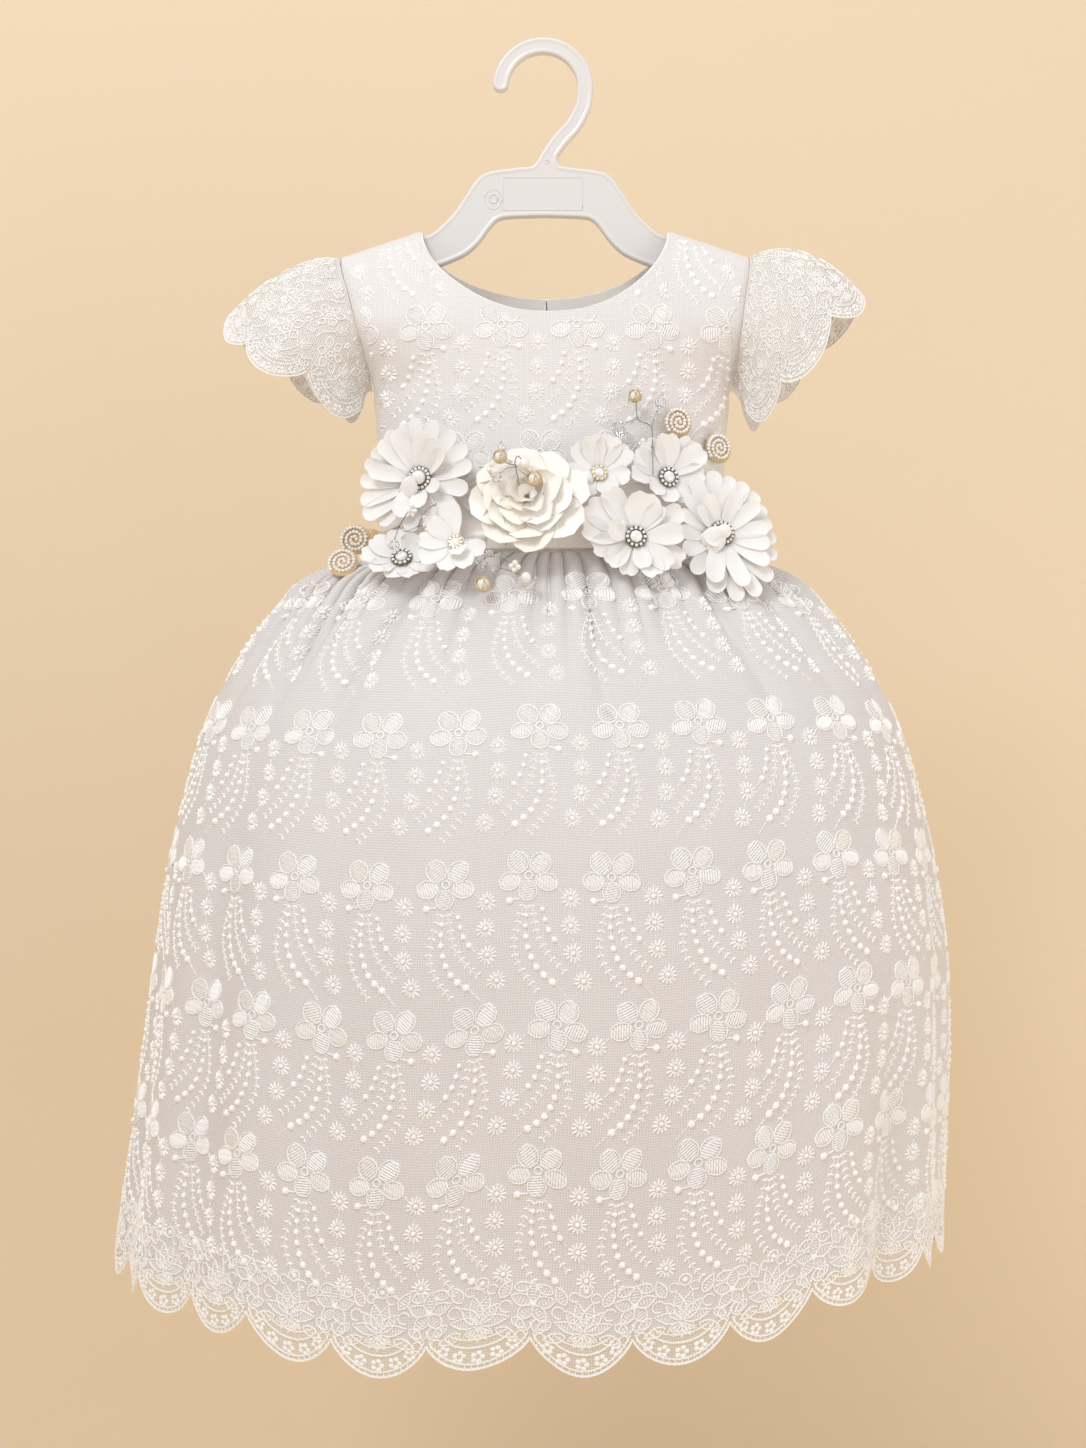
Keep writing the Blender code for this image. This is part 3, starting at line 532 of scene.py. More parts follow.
def turned(profile: Array, steps: int = 12) -> Mesh:
    """A round piece about Z, from a profile of radius and height whose ends lie on the axis."""
    turn = whole_turn(steps)
    inner = profile[1:-1]
    rings = grid_of(inner[:, None, 0] * np.cos(turn), inner[:, None, 0] * np.sin(turn), inner[:, None, 1])
    points = np.concatenate([rings.reshape(-1, 3), [[0, 0, profile[0, 1]], [0, 0, profile[-1, 1]]]])
    quads = grid_faces(len(inner), steps, True)
    i = np.arange(steps)
    j = (i + 1) % steps
    first, last = len(points) - 2, len(points) - 1
    top = np.stack([np.full(steps, first), j, i, i], -1)
    base = (len(inner) - 1) * steps
    bottom = np.stack([np.full(steps, last), base + i, base + j, base + j], -1)
    faces = np.concatenate([quads, top, bottom])
    return Mesh(points, faces if profile[0, 1] < profile[-1, 1] else faces[:, ::-1])


def ball(steps: int = 10, rows: int = 6, flat: float = 1.0) -> Mesh:
    """A round bead of radius one, as a turned half circle."""
    arc = np.linspace(-math.pi / 2, math.pi / 2, rows + 1)
    return turned(np.stack([np.cos(arc), np.sin(arc) * flat], -1), steps)


def piece(name: str, mesh: Mesh, finish: Finish, replaces: Sequence[str] = (),
          smooth: bool = True, wall_mm: float = 0.0, outside: float = 0.0) -> bpy.types.Object:
    """Makes one piece of the gown from a mesh.

    Args:
        name: the piece's name.
        mesh: its shape in millimetres.
        finish: its material.
        replaces: the CAD nodes that it stands for.
        smooth: whether its faces are shaded smooth.
        wall_mm: the thickness that an open surface is given.
        outside: where that wall lies, from -1 inside to 1 outside of the surface.

    Returns:
        The object.
    """
    data = bpy.data.meshes.new(name)
    triangle = mesh.faces[:, 2] == mesh.faces[:, 3]
    faces = [tuple(f[:3]) if t else tuple(f) for f, t in zip(mesh.faces.tolist(), triangle.tolist())]
    data.from_pydata((mesh.points * MM).tolist(), [], faces)
    if mesh.uv is not None:
        layer = data.uv_layers.new(name="UVMap")
        corner = np.empty(len(data.loops), int)
        data.loops.foreach_get("vertex_index", corner)
        layer.data.foreach_set("uv", (mesh.uv[corner] * MM).ravel().astype(np.float32))
    data.materials.append(finish.material())
    data.polygons.foreach_set("use_smooth", np.full(len(data.polygons), smooth))
    thing = bpy.data.objects.new(name, data)
    bpy.context.scene.collection.objects.link(thing)
    if wall_mm:
        wall = thing.modifiers.new("Wall", "SOLIDIFY")
        wall.thickness = wall_mm * MM
        wall.offset = outside
        wall.use_even_offset = False
    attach(thing, BODY)
    if replaces:
        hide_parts(*replaces)
    LOG.info("%s: %d faces", name, len(data.polygons))
    return thing


def on_surface(surface: Surface, u: Array, v: Array, high: Array, reach: float = 0.4) -> Array:
    """Points raised off a surface.

    The normal is the cross product of the surface's two slopes, measured over a small step each way.

    Args:
        surface: gives points from two parameters.
        u: first parameter.
        v: second parameter.
        high: height above the surface.
        reach: the step, in the parameters' own units.

    Returns:
        The raised points.
    """
    middle = surface(u, v)
    along = surface(u + reach, v) - surface(u - reach, v)
    down = surface(u, v + reach) - surface(u, v - reach)
    return middle + unit(np.cross(along, down)) * np.asarray(high)[..., None]


# Forms that the cloth follows


class Sectioned:
    """A form's level ovals, each with its height, half width, front and back depth, and offset."""

    sections: Array

    def read(self, column: int, z: Array) -> Array:
        """A column of the sections at height z."""
        return curve_through(self.sections[:, 0], self.sections[:, column], z)

    def depth(self, turn: Array, z: Array) -> Array:
        """The front depth where a full-turn angle looks forward, and the back depth elsewhere."""
        return np.where(np.cos(turn) >= 0, self.read(2, z), self.read(3, z))

    def oval(self, turn: Array, section: Array, z: Array, deeper: float = 0.0) -> tuple[Array, Array]:
        """Points on a section's oval, set at height z, and the level directions out of it."""
        half, depth = self.read(1, section), self.depth(turn, section) + deeper
        out = unit(grid_of(np.sin(turn) / half, -np.cos(turn) / depth, 0.0))
        return grid_of(self.read(4, section) + half * np.sin(turn), -depth * np.cos(turn), z), out


@dataclass(frozen=True)
class BodiceForm(Sectioned):
    """The bodice's middle surface, from its heights, half widths, depths and offsets."""

    neck_half: float = 72.5
    neck_point: float = -105.0
    shoulder_half: float = 118.8
    shoulder_tip: float = -120.3
    underarm: float = -203.0
    waist: float = -296.0
    front_neck: float = 54.0
    back_neck: float = 33.0
    rounding: float = 120.0
    spread: float = 30.0
    armhole_rise: float = 45.0
    seam_gap: float = 0.9
    sections: Array = field(default_factory=lambda: table(
        (-296, 97.6, 60, 56, 4.0), (-203, 103.5, 50, 46, 4.0), (-150, 113.3, 46, 41, 1.5),
        (-120, 118.8, 45, 40, 0.0), (-80, 118.8, 45, 40, 0.0),
    ))

    def shoulder(self, x: Array) -> Array:
        """Height of the shoulder line at a distance x from the middle."""
        slope = (self.neck_point - self.shoulder_tip) / (self.shoulder_half - self.neck_half)
        return self.neck_point - slope * (np.abs(x) - self.neck_half)

    def point(self, face: Face, angle: Array, z: Array) -> Array:
        """Points at an angle across a panel, from -90 at the left seam to 90 at the right, and a height.

        Depth is the armhole's spread plus the cosine of the angle times the rest, drawn in near the
        shoulder line.
        """
        across, inwards = np.sin(np.radians(angle)), np.cos(np.radians(angle))
        depth = self.read(2 if face is Face.FRONT else 3, z)
        spread = self.spread * ease((z - self.underarm) / self.armhole_rise)
        below = np.maximum(0.0, self.shoulder(across * self.shoulder_half) - z)
        share = np.minimum(1.0, below / self.rounding)
        drawn = np.sin(0.5 * math.pi * share**0.6)
        reach = (spread + (depth - spread) * inwards) * drawn + self.seam_gap / 2
        x = self.read(4, z) + across * self.read(1, z)
        return grid_of(x, face.value * reach, z)

    def top(self, face: Face, angle: Array) -> Array:
        """Height of the upper edge: the neckline in the middle, and the shoulder seam beside it."""
        across = np.abs(np.sin(np.radians(angle)))
        neck = self.neck_half / self.shoulder_half
        depth = self.front_neck if face is Face.FRONT else self.back_neck
        dip = depth * (1 - np.minimum(1.0, across / neck) ** 2.2) ** 0.6
        return np.where(across >= neck, self.shoulder(across * self.shoulder_half), self.neck_point - dip)

    def ring(self, angle: Array, z: Array, off: Array | float) -> Array:
        """Points round the body at a full-turn angle, off millimetres outside of the middle surface."""
        flat, out = self.oval(np.radians(angle), z, z, self.seam_gap / 2)
        return flat + out * off


@dataclass(frozen=True)
class SkirtForm(Sectioned):
    """The skirt's middle surface: a bell with long folds, gathered into the waist."""

    hem_cusp: float = -698.0
    front_drop: float = 17.0
    back_rise: float = 10.0
    scallops: int = 28
    scallop_deep: float = 17.0
    gathers: int = 78
    fold_fade: float = 200.0
    sections: Array = field(default_factory=lambda: table(
        (-297.3, 98.4, 60.8, 56.8, 4.0), (-299.5, 116, 64, 60, 3.6), (-307, 139, 71, 67, 3.0),
        (-327, 161, 86, 82, 3.0), (-352, 180, 103, 99, 3.0), (-388, 199, 124, 119, 3.0),
        (-440, 214.5, 144, 138, 3.5), (-505, 227.5, 158, 152, 3.5), (-580, 234.5, 166, 160, 1.0),
        (-640, 237.5, 169, 164, -3.0), (-698, 240.5, 171, 167, -8.0),
    ))
    # angle, half width in degrees, depth inwards, height where it starts
    folds: Array = field(default_factory=lambda: table(
        (-76, 6, 5, -420), (-54, 6, 7, -360), (-31, 7, 4, -380), (-9, 7, 3, -470), (15, 6, 7, -430),
        (35, 7, 4, -380), (55, 5, 9, -500), (74, 6, 6, -400), (101, 7, 6, -430), (124, 6, 8, -380),
        (147, 7, 5, -450), (169, 6, 8, -400), (192, 7, 5, -470), (214, 6, 8, -370), (236, 7, 5, -440),
        (257, 6, 7, -410),
    ))
    # angle, and how far the hem is pulled up there
    rises: Array = field(default_factory=lambda: table(
        (-180, 0), (-125, 0), (-90, 3), (-55, 4.5), (-40, 5), (-27, -2.5), (-15, -2), (-4, 7), (8, 1),
        (21, 5), (32, 10), (45, 21), (65, 19), (90, 14), (130, 5), (180, 0),
    ))
    # shorter creases out of the waist: angle, drift along them, half width, depth, upper and lower end
    creases: Array = field(default_factory=lambda: table(
        (-28, -14, 2.2, 3.4, -300, -450), (-44, -12, 2.6, 3.0, -304, -420),
        (-62, -9, 3.0, 3.2, -306, -430), (-15, -5, 1.8, 2.4, -302, -400), (-3, 1, 1.6, 2.2, -300, -385),
        (7, 3, 1.7, 2.6, -302, -420), (19, 7, 2.2, 2.4, -302, -390), (33, 10, 2.4, 3.2, -306, -440),
        (48, 10, 2.6, 2.8, -306, -410), (66, 8, 3.0, 3.4, -308, -430), (84, 3, 2.8, 2.6, -306, -400),
        (-82, -4, 2.8, 2.8, -306, -410), (112, -6, 2.6, 3.0, -302, -430),
        (133, -8, 2.4, 2.8, -302, -400), (152, -5, 2.0, 3.0, -300, -420), (171, 2, 1.8, 2.4, -300, -390),
        (190, 3, 2.0, 2.8, -300, -430), (210, 7, 2.2, 2.6, -302, -400), (228, 8, 2.6, 3.2, -304, -440),
        (249, 6, 2.8, 2.8, -306, -410),
    ))

    def cusp(self, angle: Array) -> Array:
        """Height of the hem where two scallops meet, lowest at the front and highest behind."""
        forward = np.cos(np.radians(angle))
        lowered = self.front_drop * np.maximum(0, forward) ** 1.5 - self.back_rise * np.maximum(0, -forward)
        rise = curve_through(self.rises[:, 0], self.rises[:, 1], (np.asarray(angle) + 180) % 360 - 180)
        return self.hem_cusp - lowered + rise

    def inwards(self, angle: Array, z: Array) -> Array:
        """How far folds and creases, as bell curves, and gathers, as cusped waves, draw the cloth in."""
        deep = np.zeros(np.broadcast(angle, z).shape)
        for at, wide, depth, start in self.folds:
            apart = (angle - at + 180) % 360 - 180
            deep = deep + depth * np.exp(-((apart / wide) ** 2)) * ease((start - z) / self.fold_fade)
        for at, drift, wide, depth, upper, lower in self.creases:
            down = (upper - z) / (upper - lower)
            apart = (angle - at - drift * np.clip(down, 0, 1) + 180) % 360 - 180
            strength = ease(down / 0.15) * ease((1 - down) / 0.7)
            deep = deep + 1.9 * depth * np.exp(-((apart / wide) ** 2)) * strength
        wander = angle + 1.6 * np.sin(np.radians(7 * angle)) + 0.9 * np.sin(np.radians(17 * angle + 40))
        wave = 1 - np.abs(np.sin(np.radians(wander * self.gathers / 2)))
        length = 58 + 22 * np.sin(np.radians(5 * angle + 20)) + 16 * np.sin(np.radians(13 * angle))
        fade = ease(1 - (-298 - z) / length) * ease((-296.5 - z) / 4)
        return deep + (6.4 * wave**1.2 - 2.2) * fade

    def stretch(self, angle: Array) -> Array:
        """How much longer the skirt is here than where its hem is at the table's height."""
        top = self.sections[0, 0]
        return (self.cusp(angle) - top) / (self.hem_cusp - top)

    def point(self, angle: Array, row: Array) -> Array:
        """Points at a full-turn angle from the front, and at a height on the side of the skirt."""
        top = self.sections[0, 0]
        flat, out = self.oval(np.radians(angle), row, top + (row - top) * self.stretch(angle))
        wave = 1.6 * np.sin(np.radians(14 * angle + 30)) * ease((-560 - row) / 120)
        return flat - out * (self.inwards(angle, row) + wave)[..., None]

    def lobe(self, angle: Array) -> Array:
        """Share of a scallop's depth at an angle: the seventh-tenth power of half a sine wave."""
        return np.abs(np.sin(np.radians(angle + 90) * self.scallops / 2)) ** 0.7

    def edge(self, angle: Array) -> Array:
        """The row of the scalloped edge."""
        return self.hem_cusp - self.scallop_deep * self.lobe(angle) / self.stretch(angle)

    def arc(self, row: float) -> tuple[Array, Array]:
        """Angles once round the skirt, and the distance along the smooth bell to each at one height."""
        angle = np.linspace(-180, 180, 1441)
        turn = np.radians(angle)
        return angle, distances(headings(turn)[:, ::-1] * grid_of(self.read(1, row), self.depth(turn, row)))


@dataclass(frozen=True)
class SleeveForm:
    """A cap sleeve's middle surface: each line runs from the armhole out over the arm to the lace hem."""

    side: Side
    start: float
    puff: float
    # share of the way round from the front underarm, then how far out, back and up the hem is
    hem: Array
    end: float = -199.0
    seam_off: float = 1.4
    scallops: int = 6
    scallop_deep: float = 9.5
    bodice: BodiceForm = field(default_factory=BodiceForm)

    def point(self, share: Array, along: Array) -> Array:
        """Points at a share of the way round the armhole, and a share of the way from it to the hem.

        A line is a quadratic curve from the seam over a raised middle point to the hem, and past the hem it
        goes on straight.
        """
        share, along = np.broadcast_arrays(np.asarray(share, float), np.asarray(along, float))
        side = self.side.value
        low = np.where(share <= 0.5, self.start, self.end)
        z = self.bodice.shoulder_tip - (self.bodice.shoulder_tip - low) * np.abs(1 - 2 * share) ** 2
        front = self.bodice.point(Face.FRONT, np.full(z.shape, 90.0 * side), z)
        back = self.bodice.point(Face.BACK, np.full(z.shape, 90.0 * side), z)
        seam = np.where((share <= 0.5)[..., None], front, back)
        seam = seam + np.array([side * self.seam_off, 0.0, 0.0])
        near = ease(np.abs(share - 0.5) * 24)[..., None]
        seam = seam * np.array([1.0, 0.0, 1.0]) + seam * np.array([0.0, 1.0, 0.0]) * near
        places = [curve_through(self.hem[:, 0], self.hem[:, i], share) for i in (1, 2, 3)]
        hem = np.stack([side * places[0], places[1], places[2]], -1)
        arch, swing = np.sin(math.pi * share), np.sin(math.tau * share)
        rise = np.stack([side * 2.0 + 0 * arch, -7.0 * swing, self.puff * arch + 3.0], -1)
        control = (seam + hem) / 2 + rise
        t = np.clip(along, 0, 1)[..., None]
        over = np.maximum(0, along - 1)[..., None]
        ripple = 0.9 * np.cos(math.tau * 12 * share) * arch * np.sin(math.pi * np.clip(along, 0, 1) ** 0.6)
        curve = (1 - t) ** 2 * seam + 2 * t * (1 - t) * control + t * t * hem + 2 * over * (hem - control)
        return curve + unit(rise) * ripple[..., None]

    def length(self, share: Array) -> Array:
        """Length of a line from the seam to the hem."""
        steps = np.stack([self.point(share, np.full(np.shape(share), t)) for t in np.linspace(0, 1, 9)])
        return np.linalg.norm(np.diff(steps, axis=0), axis=-1).sum(0)

    def lobe(self, share: Array) -> Array:
        """Share of a scallop's depth."""
        return np.abs(np.sin(math.pi * share * self.scallops)) ** 0.7


# Needlework, drawn flat in millimetres and then laid on the cloth


class Needlework:
    """Raised stitches, cords and knots, gathered into one flat mesh whose third coordinate is height."""

    stitch_faces = np.array(
        ((0, 6, 1, 1), (0, 2, 6, 6), (1, 6, 7, 3), (2, 4, 7, 6), (3, 7, 5, 5), (4, 5, 7, 7)),
    )
    # a cord's section: across as a share of its width, up as a share of its height
    section = ((-0.5, 0.0), (-0.32, 0.8), (0.32, 0.8), (0.5, 0.0))

    def __init__(self) -> None:
        """Starts with nothing sewn."""
        self.parts: list[Mesh] = []

    def stitches(self, starts: Array, ends: Array, wide: float = 0.9, high: float = 0.5) -> None:
        """Straight stitches: low ridges whose ends are points.

        Args:
            starts: n by 2 places.
            ends: n by 2 places.
            wide: their width.
            high: their height.
        """
        starts, ends = np.asarray(starts, float).reshape(-1, 2), np.asarray(ends, float).reshape(-1, 2)
        along = ends - starts
        side = unit(left_of(along)) * wide / 2
        near, far = starts + along * 0.22, ends - along * 0.22
        flat = [starts, near + side, near - side, far + side, far - side, ends]
        base = np.concatenate([np.stack(flat, 1), np.zeros((len(starts), 6, 1))], -1)
        tops = np.concatenate([np.stack([near, far], 1), np.full((len(starts), 2, 1), high)], -1)
        points = np.concatenate([base, tops], 1)
        self.parts.append(Mesh(points.reshape(-1, 3), repeated(self.stitch_faces, len(starts), 8)))

    def cord(self, path: Array, wide: float = 0.8, high: float = 0.6, closed: bool = False) -> None:
        """A cord along a flat path, half round on top."""
        path = np.asarray(path, float)
        along = np.roll(path, -1, 0) - np.roll(path, 1, 0) if closed else np.gradient(path, axis=0)
        side = unit(left_of(along))
        lines = [grid_of(*(path + side * a * wide).T, h * high) for a, h in self.section]
        points = np.stack(lines, 1)
        quads = grid_faces(len(path), 4)[:, ::-1]
        if closed:
            last = (len(path) - 1) * 4
            c = np.arange(3)
            quads = np.concatenate([quads, np.stack([c, c + 1, last + c + 1, last + c], -1)[:, ::-1]])
        self.parts.append(Mesh(points.reshape(-1, 3), quads))

    def knots(self, places: Array, radius: float = 1.7, high: float = 1.1, sides: int = 7) -> None:
        """Round satin-stitch knots: domes of two rings."""
        places = np.asarray(places, float).reshape(-1, 2)
        ring = headings(whole_turn(sides))
        points = [np.concatenate([ring * radius, np.zeros((sides, 1))], -1),
                  np.concatenate([ring * radius * 0.66, np.full((sides, 1), high * 0.75)], -1),
                  np.array([[0.0, 0.0, high]])]
        dome = np.concatenate(points)
        i = np.arange(sides)
        j = (i + 1) % sides
        walls = np.stack([i, j, sides + j, sides + i], -1)
        cap = np.stack([sides + i, sides + j, np.full(sides, 2 * sides), np.full(sides, 2 * sides)], -1)
        faces = np.concatenate([walls, cap])
        moved = dome[None] + np.pad(places, ((0, 0), (0, 1)))[:, None]
        self.parts.append(Mesh(moved.reshape(-1, 3), repeated(faces, len(places), len(dome))))

    def petal(self, centre: Array, length: float, width: float, turn: float, rows: int = 8) -> None:
        """A hatched oval: parallel stitches across it, whose ends lie on an ellipse."""
        place = (np.arange(rows) + 0.5) / rows * 2 - 1
        reach = np.sqrt(1 - (place * 0.96) ** 2) * width / 2
        c, s = math.cos(math.radians(turn)), math.sin(math.radians(turn))
        rotation = np.array([[c, s], [-s, c]])
        lean = 0.18 * width
        a = np.stack([place * length / 2 + lean * 0.5, reach], -1) @ rotation + centre
        b = np.stack([place * length / 2 - lean * 0.5, -reach], -1) @ rotation + centre
        self.stitches(a, b, wide=length / rows * 0.78, high=0.75)
        rim = headings(whole_turn(12)) * (length / 2, width / 2) @ rotation + centre
        self.cord(rim, 0.6, 0.6, closed=True)

    def daisy(self, centre: Array, radius: float = 5.4, rays: int = 12, turn: float = 0.0) -> None:
        """A daisy of straight stitches round a knot."""
        angle = whole_turn(rays) + turn
        way = headings(angle)
        uneven = 1 + 0.08 * np.sin(angle * 3 + centre[0])
        tips = centre + way * (radius * uneven)[:, None]
        self.stitches(centre + way * radius * 0.3, tips, wide=1.15, high=0.65)
        self.knots([centre], radius * 0.26, 1.0, 6)

    def ring_flower(self, centre: Array, radius: float = 2.8, petals: int = 5, turn: float = 0.0) -> None:
        """A small flower of knots in a ring."""
        self.knots(centre + headings(whole_turn(petals) + turn) * radius * 0.66, radius * 0.42, 0.9, 6)

    def sprigs(self, path: Array, every: float = 4.4, long: float = 2.6) -> None:
        """Fishbone leaflets in pairs along a path, with a fine stem between them."""
        at = resampled(path, every)
        along = unit(np.gradient(at, axis=0))
        side = left_of(along)
        self.stitches(at[:-1], at[1:], wide=0.5, high=0.35)
        for way in (1, -1):
            tip = at + side * way * long * 0.8 + along * long * 0.55
            self.stitches(at, tip, wide=1.15, high=0.6)

    def mesh(self) -> Mesh:
        """All that was sewn, as one flat mesh."""
        return Mesh.join(self.parts)


def resampled(path: Array, every: float) -> Array:
    """Points about evenly spaced along a path, on a smooth curve through its points."""
    path = np.asarray(path, float)
    chord = distances(path)
    fine = np.linspace(0, chord[-1], max(8, int(chord[-1] * 2)))
    smooth = np.stack([curve_through(chord, path[:, i], fine) for i in range(path.shape[1])], -1)
    lengths = distances(smooth)
    count = max(2, int(round(lengths[-1] / every)) + 1)
    want = np.linspace(0, lengths[-1], count)
    return np.stack([np.interp(want, lengths, smooth[:, i]) for i in range(path.shape[1])], -1)


def arc_path(centre: tuple[float, float], radius: float, start: float, end: float, steps: int = 9,
             squash: float = 1.0) -> Array:
    """Points of an arc, in degrees, whose height may be squashed."""
    turn = np.radians(np.linspace(start, end, steps))
    return np.stack([centre[0] + radius * np.cos(turn), centre[1] + radius * np.sin(turn) * squash], -1)


def leaf_path(root: Array, tip: Array, belly: float, steps: int = 7) -> Array:
    """A closed leaf outline from its root to its tip and back, whose halves are half sine waves."""
    root, tip = np.asarray(root, float), np.asarray(tip, float)
    t = np.linspace(0, 1, steps)
    spine = root + (tip - root) * t[:, None]
    side = unit(left_of(tip - root))
    swell = belly * np.sin(math.pi * t**0.8)[:, None]
    return np.concatenate([spine + side * swell, (spine - side * swell)[::-1][1:-1]])


class Embroidery:
    """The net's repeat: a hatched flower with trailing strands of knots and leaflets, and four daisies."""

    relief = 1.4  # how much higher than sewn flat, so that it shows
    # trailing strands of a flower that sweeps to the left: their points from the flower's ring
    short_knots = table(
        (-3.0, -14), (-6.5, -15.5), (-8.3, -21), (-9.8, -26.2), (-13, -31.6), (-17.5, -36.5),
    )
    short_sprigs = table((-1.5, -15), (-3, -21.6), (-5.3, -31.6), (-12.1, -41.7), (-18.5, -48))
    long_knots = table((0.5, -15), (1.6, -25), (0.5, -36), (-5, -47.7), (-15.6, -56.4), (-21, -62))
    long_sprigs = table((2.5, -15), (6.0, -27), (7.4, -38.5), (3.4, -48.5), (-4.5, -58.5))

    @classmethod
    def motif(cls) -> Mesh:
        """One repeat, round the flower's ring as its origin."""
        n = Needlework()
        for centre, length, width, turn in (
            ((-6.2, 7.0), 11.5, 10.8, 124), ((5.6, 7.4), 11.5, 10.8, 60), ((9.8, -2.4), 11.0, 9.6, -10),
            ((-9.4, -2.6), 11.5, 9.2, 190),
        ):
            n.petal(np.array(centre), length, width, turn)
        n.cord(arc_path((0, 0.4), 2.0, 0, 330, 10), 0.8, 0.7, closed=True)
        n.petal(np.array((0.3, -7.6)), 10.5, 9.6, 90, 8)
        n.cord(table((4.0, -11.6), (9.2, -12.4)), 0.7, 0.5)
        n.knots([(10.0, -12.6)], 2.0, 1.3)
        for strand, start, count in ((cls.short_knots, 1, 4), (cls.long_knots, 1, 8)):
            thread = resampled(strand, 4.0)
            n.stitches(thread[:-1], thread[1:], wide=0.5, high=0.35)
            beads = resampled(strand, 5.4)[start : start + count]
            for step, bead in enumerate(beads):
                n.knots([bead], 1.4 + 0.1 * step, 1.15)
        n.sprigs(cls.short_sprigs)
        n.sprigs(cls.long_sprigs)
        daisies = table((-22, -10.5), (-22, -24.5), (-23.5, -38.5), (-29, -52.5))
        for number, place in enumerate(daisies):
            n.daisy(place, turn=0.4 * number)
        for a, b in zip(daisies[:-1], daisies[1:]):
            n.stitches([a + (b - a) * 0.42], [b - (b - a) * 0.42], wide=0.5, high=0.35)
        n.stitches([(-15.5, -5.5)], [(-18, -8)], wide=0.5, high=0.35)
        return n.mesh()

    @classmethod
    def both_ways(cls) -> list[Mesh]:
        """The repeat swept to the right and to the left, raised so that it shows."""
        left = cls.motif()
        return [flat.moved(flat.points * (1, 1, cls.relief)) for flat in (cls.mirrored(left), left)]

    @staticmethod
    def mirrored(mesh: Mesh) -> Mesh:
        """The same repeat swept the other way, with its faces turned back outwards."""
        faces = mesh.faces[:, ::-1].copy()
        triangle = mesh.faces[:, 2] == mesh.faces[:, 3]
        faces[triangle] = mesh.faces[triangle][:, [0, 2, 1, 1]]
        return Mesh(mesh.points * np.array([-1.0, 1.0, 1.0]), faces)


class BorderLace:
    """A scallop of corded lace: a double edge, ring flowers, leaves, a five-petalled flower, scrolls."""

    wide = 48.0
    deep = 17.0

    @classmethod
    def edge(cls, x: Array, inset: float = 0.0) -> Array:
        """Height of the scallop's edge at x, moved up by an inset."""
        lobe = np.abs(np.cos(math.pi * np.clip(x / cls.wide, -0.5, 0.5))) ** 0.7
        return -cls.deep * lobe + inset

    @staticmethod
    def leaf(n: Needlework, root: Array, turn: float, long: float, belly: float) -> None:
        """A leaf outlined in cord and hatched across, from its root at a turn in degrees."""
        way = heading(turn)
        n.cord(leaf_path(root, root + way * long, belly, 8), 0.8, 0.75, closed=True)
        ribs = np.linspace(0.22, 0.82, max(3, int(long / 1.9)))[:, None]
        half = left_of(way) * belly * 0.75 * np.sin(math.pi * ribs)
        n.stitches(root + way * long * ribs - half, root + way * long * ribs + half, wide=0.55, high=0.4)

    @classmethod
    def scallop(cls) -> Mesh:
        """One scallop about its middle, with the line between two cusps as height nought."""
        n = Needlework()
        x = np.sin(np.linspace(-0.5, 0.5, 25) * math.pi) * 0.5 * cls.wide
        for inset, shrink, wide in ((0.5, 1.0, 1.2), (3.1, 0.955, 0.9)):
            n.cord(np.stack([x * shrink, cls.edge(x) + inset], -1), wide, 0.8)
        rungs = np.linspace(-0.44, 0.44, 15) * cls.wide
        low = np.stack([rungs, cls.edge(rungs, 0.6)], -1)
        n.stitches(low, low + np.stack([-rungs * 0.03, 0 * rungs + 2.6], -1), wide=0.6, high=0.5)
        for place, size in (
            ((-16.0, -4.2), 3.1), ((-8.8, -8.6), 3.3), ((0.0, -10.4), 3.4), ((8.8, -8.6), 3.3),
            ((16.0, -4.2), 3.1),
        ):
            n.ring_flower(np.array(place), size, 5, place[0])
        n.cord(arc_path((0, 9), 17.5, 205, 335, 15, 0.82), 1.0, 0.8)
        n.cord(arc_path((0, 11), 17.0, 215, 325, 13, 0.72), 0.8, 0.6)
        for turn in range(-60, 61, 30):
            root = np.array([0.0, 5.0])
            tip = root + heading(turn - 90) * 8.0
            n.cord(leaf_path(root, tip, 1.7), 0.7, 0.6, closed=True)
            n.stitches([root + (tip - root) * 0.2], [root + (tip - root) * 0.85], wide=1.0, high=0.5)
        for turn, long, belly in (
            (-78, 14, 2.8), (-42, 13, 2.8), (-14, 15, 3.0), (14, 15, 3.0), (42, 13, 2.8), (78, 14, 2.8),
        ):
            cls.leaf(n, np.array([0.0, 6.5]), turn + 90.0, long, belly)
        for way in (-1, 1):
            for x, y, turn, long, belly in (
                (8, 3, -18, 11, 2.4), (15, 9, -35, 8, 2.2), (9, 19, 62, 10, 2.6), (15, 24, 20, 9, 2.4),
            ):
                lean = 90.0 - way * (90.0 - turn)
                cls.leaf(n, np.array([way * x, y], float), lean, long, belly)
            n.cord(arc_path((way * 20.5, 6.4), 3.4, 90, 400, 12), 0.8, 0.7)
            n.cord(arc_path((way * 19.6, 0.4), 2.4, -30, 280, 10), 0.8, 0.7)
            n.cord(arc_path((way * 12.0, 14.5), 3.0, 20, 300, 10), 0.75, 0.65)
            n.cord(arc_path((way * 5.0, 23.5), 2.4, 20, 320, 9), 0.7, 0.6)
        n.cord(arc_path((0.0, 27.0), 3.0, 0, 330, 11), 0.75, 0.65, closed=True)
        n.knots([(0.0, 27.0)], 1.4, 1.0)
        flower = np.array([24.0, 17.0])
        for turn in range(0, 360, 72):
            cls.leaf(n, flower + heading(turn + 90), turn + 90.0, 10.0, 3.1)
        n.knots([flower], 1.8, 1.2)
        return n.mesh()


# The gown's parts


